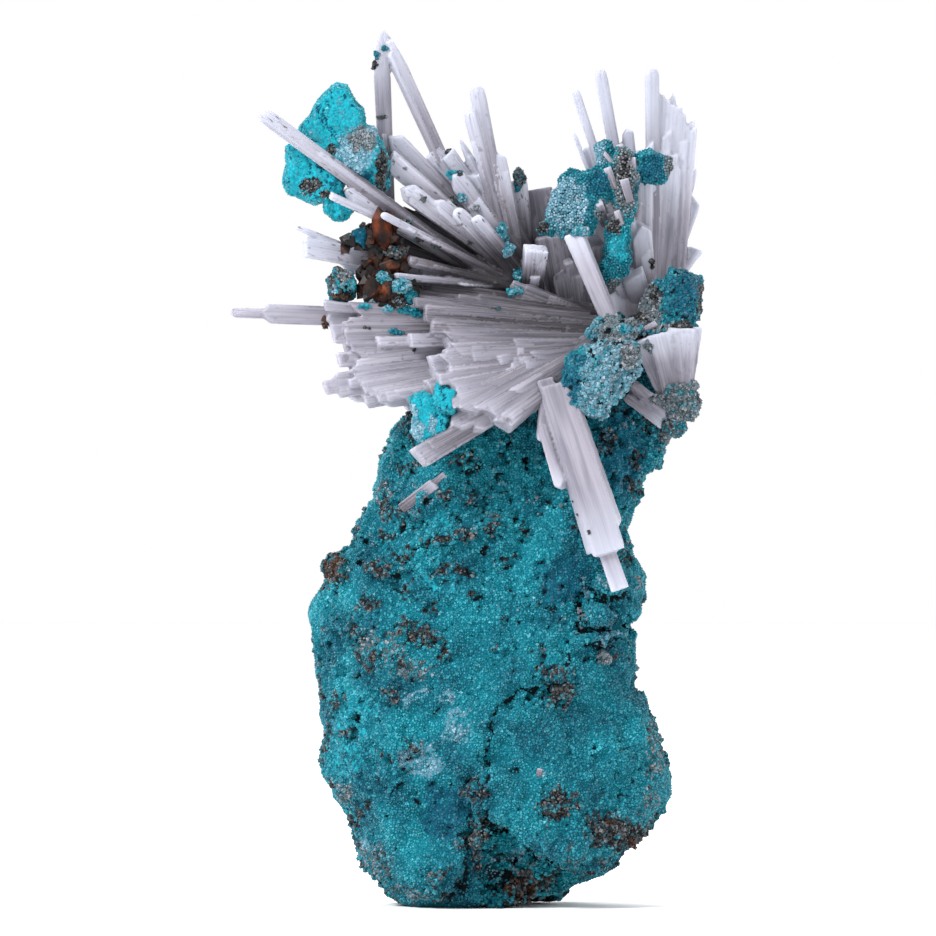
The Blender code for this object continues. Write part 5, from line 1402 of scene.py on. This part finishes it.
# %% The bright chips and the crumb at the left
CHIP_MASKS = {
    "vivid": (0.8,),
    "pale": ((-16, 90.4, 2.4, 3), (-14.6, 92.6, 1.8, 1)),
    "grey": ((-15.4, 91.6, 2, 1.6),),
    "brown": ((-21.4, 86.2, 1.5, 1.2), (-13, 88, 0.9, 3), (-19, 90.4, 0.9, 0.7), (-19.4, 85, 0.8, 0.5)),
    "deep": ((-16.4, 87.4, 2.4, 1.6), (-19, 88.6, 2, 0.8)),
}
CHIP_LOWER_MASKS = {
    "vivid": (0.85,),
    "pale": ((-8.6, 57, 0.9, 1.6), (-9.2, 59.4, 0.6, 1), (-6.8, 57.6, 0.5, 1.4)),
    "brown": ((-4.7, 57.6, 0.4, 1.2), (-6.2, 55.4, 1, 0.4)),
}
CRUMB_MASKS = {
    "grey": (0.3, (-17.4, 75.2, 1.1, 1)),
    "brown": (0.4, (-18.9, 75, 0.5, 1.6), (-17.2, 76.2, 1.4, 0.4)),
    "rust": ((-17.9, 73, 1.3, 0.7),),
    "pale": ((-17.5, 75.3, 0.9, 0.9), (-18.6, 73.8, 0.6, 0.6)),
}
CHIP = {"pitted": 0.0, "bare": True}
crumb("chrysocolla_chip_left", "chip_left", "bright_chrysocolla", 0.17, 0.3, CHIP_MASKS, **CHIP)
crumb("chrysocolla_chip_lower", "chip_lower", "bright_chrysocolla", 0.15, 0.3, CHIP_LOWER_MASKS, **CHIP)
crumb("druse_crumb_left", "crumb_left", "dark_druse", 0.15, 0.7, CRUMB_MASKS)

# %% [markdown]
# ## The rusty cluster
# At the root of the upper spray sit glassy crumbs of limonite with flat, sharp faces. Cutting each face
# by hand would take long. A strong displacement and a decimate modifier give them at once. Larger
# grains of the same stuff lie on them.

# %% Rusty crumbs and shards
shard_sizes = {"spacing": 1.0, "smallest": 0.8, "largest": 2.0}
shards = scatter_tree("shards", sharp_grain, **shard_sizes, tilt=1.2, material=limonite)
rusty_crumbs = fine_copy("limonite_cluster", "rusty_crumbs", voxel=0.3, smoothing=0)
corners = len(rusty_crumbs.data.vertices)
store(rusty_crumbs, "cover", np.ones(corners))
store(rusty_crumbs, "coarse", np.zeros(corners))
push(rusty_crumbs, -1.2, knobs, 0.4)
modify(rusty_crumbs, "DECIMATE", ratio=0.05)
rusty_shards = hand_in(sprinkle(rusty_crumbs, "rusty_shards", shards), "limonite")
rusty_crumbs.data.materials.append(limonite)
only(rusty_crumbs)
bpy.ops.object.shade_flat()
hand_in(rusty_crumbs, "limonite", "limonite_cluster")

# %% [markdown]
# ### Wedge-shaped rusty crystals
# Six larger crystals of limonite stand out of the cluster, two of them clear as amber. Each is a bevelled
# ball of twenty faces, stretched by its row: x and z, width, height, how far it stands out, its lean
# and its finish. A ray from the front finds the surface that it sits on.


# %% Rays from the front
def front_tree(pieces):
    """The faces of several pieces as one tree that rays can be cast at."""
    corners, faces = [], []
    for piece in pieces:
        first = len(corners)
        corners += [vertex.co.copy() for vertex in piece.data.vertices]
        faces += [[first + index for index in face.vertices] for face in piece.data.polygons]
    return BVHTree.FromPolygons(corners, faces)


BEFORE_ALL = -40.0  # a y in front of everything
INWARD = Vector((0, 1, 0))


def hit(tree, start):
    """Where a ray inward from a start meets the pieces of a tree, in metres, or nothing."""
    return tree.ray_cast(start * MM, INWARD)[0]


# %% Wedge-shaped rusty crystals
WEDGES = (
    (-12.9, 81, 2.9, 5.6, 0.6, -10, amber), (-14.2, 74, 2, 2.8, 0.5, 14, limonite),
    (-12, 76.6, 3.4, 2.4, 0.5, -20, limonite), (-10.2, 76.4, 1.8, 2.2, 0.4, 30, limonite),
    (-17.6, 72.9, 2.2, 1, 0.3, 10, amber), (-11.2, 78.6, 1.8, 1.8, 0.2, 60, limonite),
)
ROOT_DEPTH = -4.6  # where a wedge sits when its ray meets nothing
wedges = []
hidden_front = front_tree((rusty_crumbs, upper_spray))
for x, z, width, height, proud, lean, finish in WEDGES:
    place = hit(hidden_front, Vector((x, BEFORE_ALL, z)))
    depth = place.y / MM if place else ROOT_DEPTH
    where = Vector((x, depth - proud + 0.5, z)) * MM
    ball = {"subdivisions": 1, "radius": 0.5 * MM, "location": where, "rotation": (0, math.radians(lean), 0)}
    wedge = add(bpy.ops.mesh.primitive_ico_sphere_add, "wedge", **ball)
    wedge.scale = (width, 0.6 * width, height)
    bpy.ops.object.transform_apply(location=True, rotation=True, scale=True)
    modify(wedge, "BEVEL", width=0.06 * MM, segments=1)
    wedge.data.materials.append(finish)
    wedges.append(wedge)
rusty_wedges = hand_in(join(wedges, "rusty_wedges"), "limonite")

# %% [markdown]
# ## Small crumbs
# Dozens of crumbs of druse stick to the crystals, to the rusty cluster, to the foot of the stump and to
# the rock's ledge. A row gives where one is seen from the front, its reach in x and z, and its kind. They
# are balls, flattened, roughened and sprinkled together, which is far quicker than one after another.

# %% Kinds and places of small crumbs
KINDS = {
    "teal": {"deep": 0.3},
    "pale": {"pale": 0.5, "grey": 0.3},
    "grey": {"grey": 0.8},
    "pink": {"grey": 0.7, "pale": 0.4},
    "dark": {"brown": 0.8, "gap": 0.5},
    "rust": {"brown": 0.4, "rust": 0.8},
    "smooth": {"deep": 0.8},
    "mottled": {"grey": 0.55, "brown": 0.4},
}
# Some dark crumbs are black specks. Others are dark lumps put where shade falls, a painted shadow: under the
# pebble on the ledge, in the rusty cluster and between the lower blades of the spray.
CRUMBS = (
    (-13.8, 102, 0.4, 0.6, "teal"), (-13.8, 100.8, 0.4, 0.6, "dark"), (-4.9, 90.4, 0.5, 0.4, "dark"),
    (-4.6, 87.6, 0.7, 0.6, "teal"), (-3.6, 87.5, 0.35, 0.7, "dark"), (-4.4, 84.2, 0.8, 0.8, "dark"),
    (-3.4, 84.8, 0.7, 0.7, "pale"), (1.5, 80.6, 0.8, 1.4, "pale"), (2.2, 78.6, 0.8, 1, "pale"),
    (3.4, 75.8, 0.7, 1.4, "pale"), (3, 73.6, 1.1, 0.7, "pale"), (3.5, 87, 0.8, 1.6, "mottled"),
    (-19.7, 69.8, 0.5, 0.9, "rust"), (-9, 66.4, 0.14, 0.5, "dark"), (-14.7, 69.1, 0.4, 0.14, "dark"),
    (-11.2, 68.6, 1, 0.35, "teal"), (9.8, 48.5, 0.18, 0.18, "dark"), (10.3, 46.9, 0.16, 0.16, "dark"),
    (11.8, 44.7, 0.22, 0.25, "dark"), (-12.7, 75, 0.9, 0.95, "pale"), (-10.6, 74.1, 1.3, 1, "pale"),
    (-9.4, 72.8, 0.9, 0.9, "teal"), (-13.6, 72.1, 1.3, 0.7, "pale"), (-15, 71.6, 0.8, 0.4, "teal"),
    (-10.8, 72.2, 0.9, 0.7, "dark"), (-9.8, 71.2, 1.5, 0.5, "teal"), (-12.2, 71.4, 0.8, 0.5, "pale"),
    (-15.6, 79.9, 1.2, 1.3, "smooth"), (-16.8, 79.9, 0.8, 0.4, "dark"), (-11.2, 78.2, 1.2, 0.8, "dark"),
    (8.6, 80.6, 1, 0.7, "pale"), (9.6, 80.5, 1.3, 0.6, "pale"), (10.8, 80.7, 1.2, 0.7, "pale"),
    (-15.4, 81.3, 0.5, 0.5, "dark"), (-12.2, 78, 0.6, 0.4, "grey"), (20, 60.6, 1, 0.9, "grey"),
    (21.4, 60.1, 1.2, 0.9, "grey"), (23, 61, 1.3, 1.2, "grey"), (24, 62.2, 0.9, 1, "grey"),
    (22.2, 58.6, 1.4, 1.3, "pink"), (23.2, 59, 1.2, 1.4, "grey"), (21, 57.6, 1.2, 1, "teal"),
    (20.6, 56.6, 0.8, 0.8, "dark"), (13, 35, 1.6, 1.3, "teal"), (12.2, 33.4, 1.2, 0.35, "dark"),
    (13.6, 29.8, 1, 0.8, "grey"), (-13, 94.6, 0.5, 0.3, "dark"), (-12.4, 89.4, 0.5, 0.9, "grey"),
    (-8.6, 79.8, 0.7, 0.35, "dark"), (-6.4, 78.9, 0.6, 0.3, "dark"), (0.4, 71.4, 0.9, 0.2, "dark"),
    (17.6, 68.2, 0.8, 0.6, "dark"), (16.6, 69.6, 1.1, 0.8, "grey"), (19.4, 77, 0.4, 0.6, "dark"),
    (13.2, 69.6, 1.2, 0.9, "pale"), (14.6, 70.2, 1.2, 0.7, "grey"), (15.6, 68.8, 1.3, 0.9, "pale"),
    (12.2, 68.4, 1, 0.9, "pale"), (17.4, 70.2, 0.9, 0.6, "grey"), (24.6, 60.4, 0.9, 1.2, "grey"),
    (19, 67, 0.6, 0.8, "grey"), (22.6, 61.4, 2, 1.3, "pink"), (23.4, 59.4, 1.7, 1.6, "pink"),
    (22, 57.6, 1.6, 1.6, "mottled"), (20.8, 56.4, 1, 1, "grey"), (-12.6, 102.8, 0.4, 0.4, "teal"),
    (-10, 81.8, 0.9, 0.7, "dark"), (-8, 84.6, 0.5, 0.4, "dark"), (-1.6, 83.6, 0.5, 0.5, "grey"),
    (-10.4, 78.6, 0.8, 0.4, "dark"), (-2.4, 79.4, 0.4, 0.3, "dark"), (-8.8, 70.8, 1, 0.5, "teal"),
)
print(len(CRUMBS), "crumbs of", len(KINDS), "kinds")

# %% The surface seen from the front
dressed = (fan, upper_spray, columns, plates, clean_clusters[0], rusty_wedges, *clean_clusters[1:])
dressed += (rusty_crumbs, rusty_shards, rock, knob, crust_on_columns, cap)
seen_from_front = front_tree(dressed)
TURNS = 8


def surface(x, z):
    """The front-most surface at x and z, in millimetres, or at a place less than a millimetre beside it."""
    for reach in (0.0, 0.3, 0.6, 0.9):
        for turn in range(TURNS):
            angle = turn * 2 * math.pi / TURNS
            aside = Vector((math.cos(angle), 0, math.sin(angle))) * reach
            place = hit(seen_from_front, Vector((x, BEFORE_ALL, z)) + aside)
            if place:
                return place / MM - 0.5 * aside
    return None


# %% Crumbs by a table
balls = []
for x, z, reach_x, reach_z, kind in CRUMBS:
    ball = {"subdivisions": 3, "radius": MM, "location": surface(x, z) * MM}
    lump = add(bpy.ops.mesh.primitive_ico_sphere_add, "lump", **ball)
    lump.scale = (reach_x, 0.6 * min(reach_x, reach_z), reach_z)
    bpy.ops.object.transform_apply(location=True, rotation=True, scale=True)
    corners = len(lump.data.vertices)
    for name in MASKS:
        store(lump, name, np.full(corners, KINDS[kind].get(name, 0.0)))
    store(lump, "cover", np.full(corners, 0.15 if kind == "smooth" else 0.9))
    balls.append(lump)
small_crumbs = join(balls, "small_crumbs")
small_crumbs.data.materials.append(rock_skin)
corners = len(small_crumbs.data.vertices)
store(small_crumbs, "pick", chance_of.random(corners))
store(small_crumbs, "coarse", np.zeros(corners))
push(small_crumbs, -0.5, pimples, 0.3)
hand_in(small_crumbs, "pale_druse")
hand_in(sprinkle(small_crumbs, "small_crumbs_grains", fine_sugar), "pale_druse")

# %% [markdown]
# ## Loose crystals
# Short, blocky crystals sit in the upper crust, and a few lie on the rock. A row gives where one
# begins and ends, seen from the front, and its width. Their depth could be guessed, but rays find how
# deep both ends lie.

# %% Crystals by a table
LOOSE = (
    (15, 85.8, 14, 88.4, 1), (16.8, 84.2, 16, 87, 1.1), (13.8, 81.8, 12.8, 84.2, 1.3),
    (15.8, 81.4, 15.2, 83.2, 0.9), (17.4, 86.6, 17, 89.6, 0.9), (16.4, 88.6, 15.6, 91.2, 0.9),
    (17.4, 82.6, 18, 84.4, 0.8), (14.6, 89, 13.6, 90.2, 0.6), (-10.6, 47.6, -6.4, 50.7, 1.5),
    (-7.2, 50.3, -5.4, 51.6, 0.9), (5.7, 15.8, 5.9, 16.8, 0.7), (19, 71, 18.4, 72.8, 0.8),
    (20.4, 73, 19.4, 74.8, 0.8), (18.4, 69, 20, 69.8, 0.8),
)
chance = random.Random(31)
blades = []
for x, z, end_x, end_z, width in LOOSE:
    row = Crystal(surface(end_x, end_z), surface(x, z), width, 0.8 * width, chance.choice(("block", "blunt")))
    blades.append(place_blade(row, chance.uniform(-12, 12), chance.random()))
hand_in(grow_together(blades, "loose_crystals", voxel=0.14, dust=0.5, clean_and_lit=0.8), "aragonite")

# %% [markdown]
# ## Floor, light and camera
# A wide white floor under a white sky gives the plain, bright ground of a studio picture. A bent sheet of
# paper would do it too, but has an edge. A broad light stands up to the left, a weaker one to the right
# and one behind. The camera is far away and level, as for a portrait of a small thing, so that the near
# blades don't look too large.

# %% Floor
floor = add(bpy.ops.mesh.primitive_circle_add, "floor", vertices=64, radius=2.2, fill_type="NGON")
pale_floor, tree, shader = new_material("pale_floor", 0.9, Specular_IOR_Level=0.1)
shader.inputs["Base Color"].default_value = (0.95, 0.95, 0.96, 1.0)
floor.data.materials.append(pale_floor)
print("laid", floor.name)

# %% Light
WHITE = (1.0, 1.0, 1.0, 1.0)
AIM = Vector((0.0, 0.0, 0.06))  # the middle of the specimen, in metres
LAMPS = (  # a square lamp's name, its place in metres, its power in watts and its size in metres
    ("key", (-0.75, -0.6, 0.85), 17.0, 0.3),
    ("fill", (0.9, -0.7, 0.5), 2.5, 0.5),
    ("top", (0.1, 0.5, 1.0), 6.0, 0.6),
)
for name, place, power, size in LAMPS:
    light = bpy.data.lights.new(name, "AREA")
    light.energy = power
    light.size = size
    lamp = put(name, light)
    lamp.location = place
    lamp.rotation_euler = (AIM - Vector(place)).to_track_quat("-Z", "Y").to_euler()
world = bpy.data.worlds.new("studio")
bpy.context.scene.world = world
world.use_nodes = True
world.node_tree.nodes["Background"].inputs["Color"].default_value = WHITE
world.node_tree.nodes["Background"].inputs["Strength"].default_value = 1.0
bpy.context.scene.view_settings.view_transform = "Standard"
print(len(LAMPS), "lamps under a white sky")

# %% Camera
FRAME_WIDTH = 112.3  # how much the picture shows from side to side
VIEW_MIDDLE = (-2.64, 52.44)  # the x and z in the middle of the picture
DISTANCE = 1200.0
camera_data = bpy.data.cameras.new("camera")
camera_data.sensor_width = 36.0
camera_data.lens = camera_data.sensor_width * DISTANCE / FRAME_WIDTH
camera_data.clip_end = 20.0
camera = put("camera", camera_data)
camera.location = (VIEW_MIDDLE[0] * MM, -DISTANCE * MM, VIEW_MIDDLE[1] * MM)
camera.rotation_euler = (math.radians(90), 0, 0)
bpy.context.scene.camera = camera
print("focal length", round(camera_data.lens), "mm")

# %% [markdown]
# ## Tidying up
# The master grains and blades have done their work and would stand in the picture, so they go.

# %% Remove the masters
for master in (sharp_grain, round_grain, *BLADES.values()):
    bpy.data.objects.remove(master, do_unlink=True)
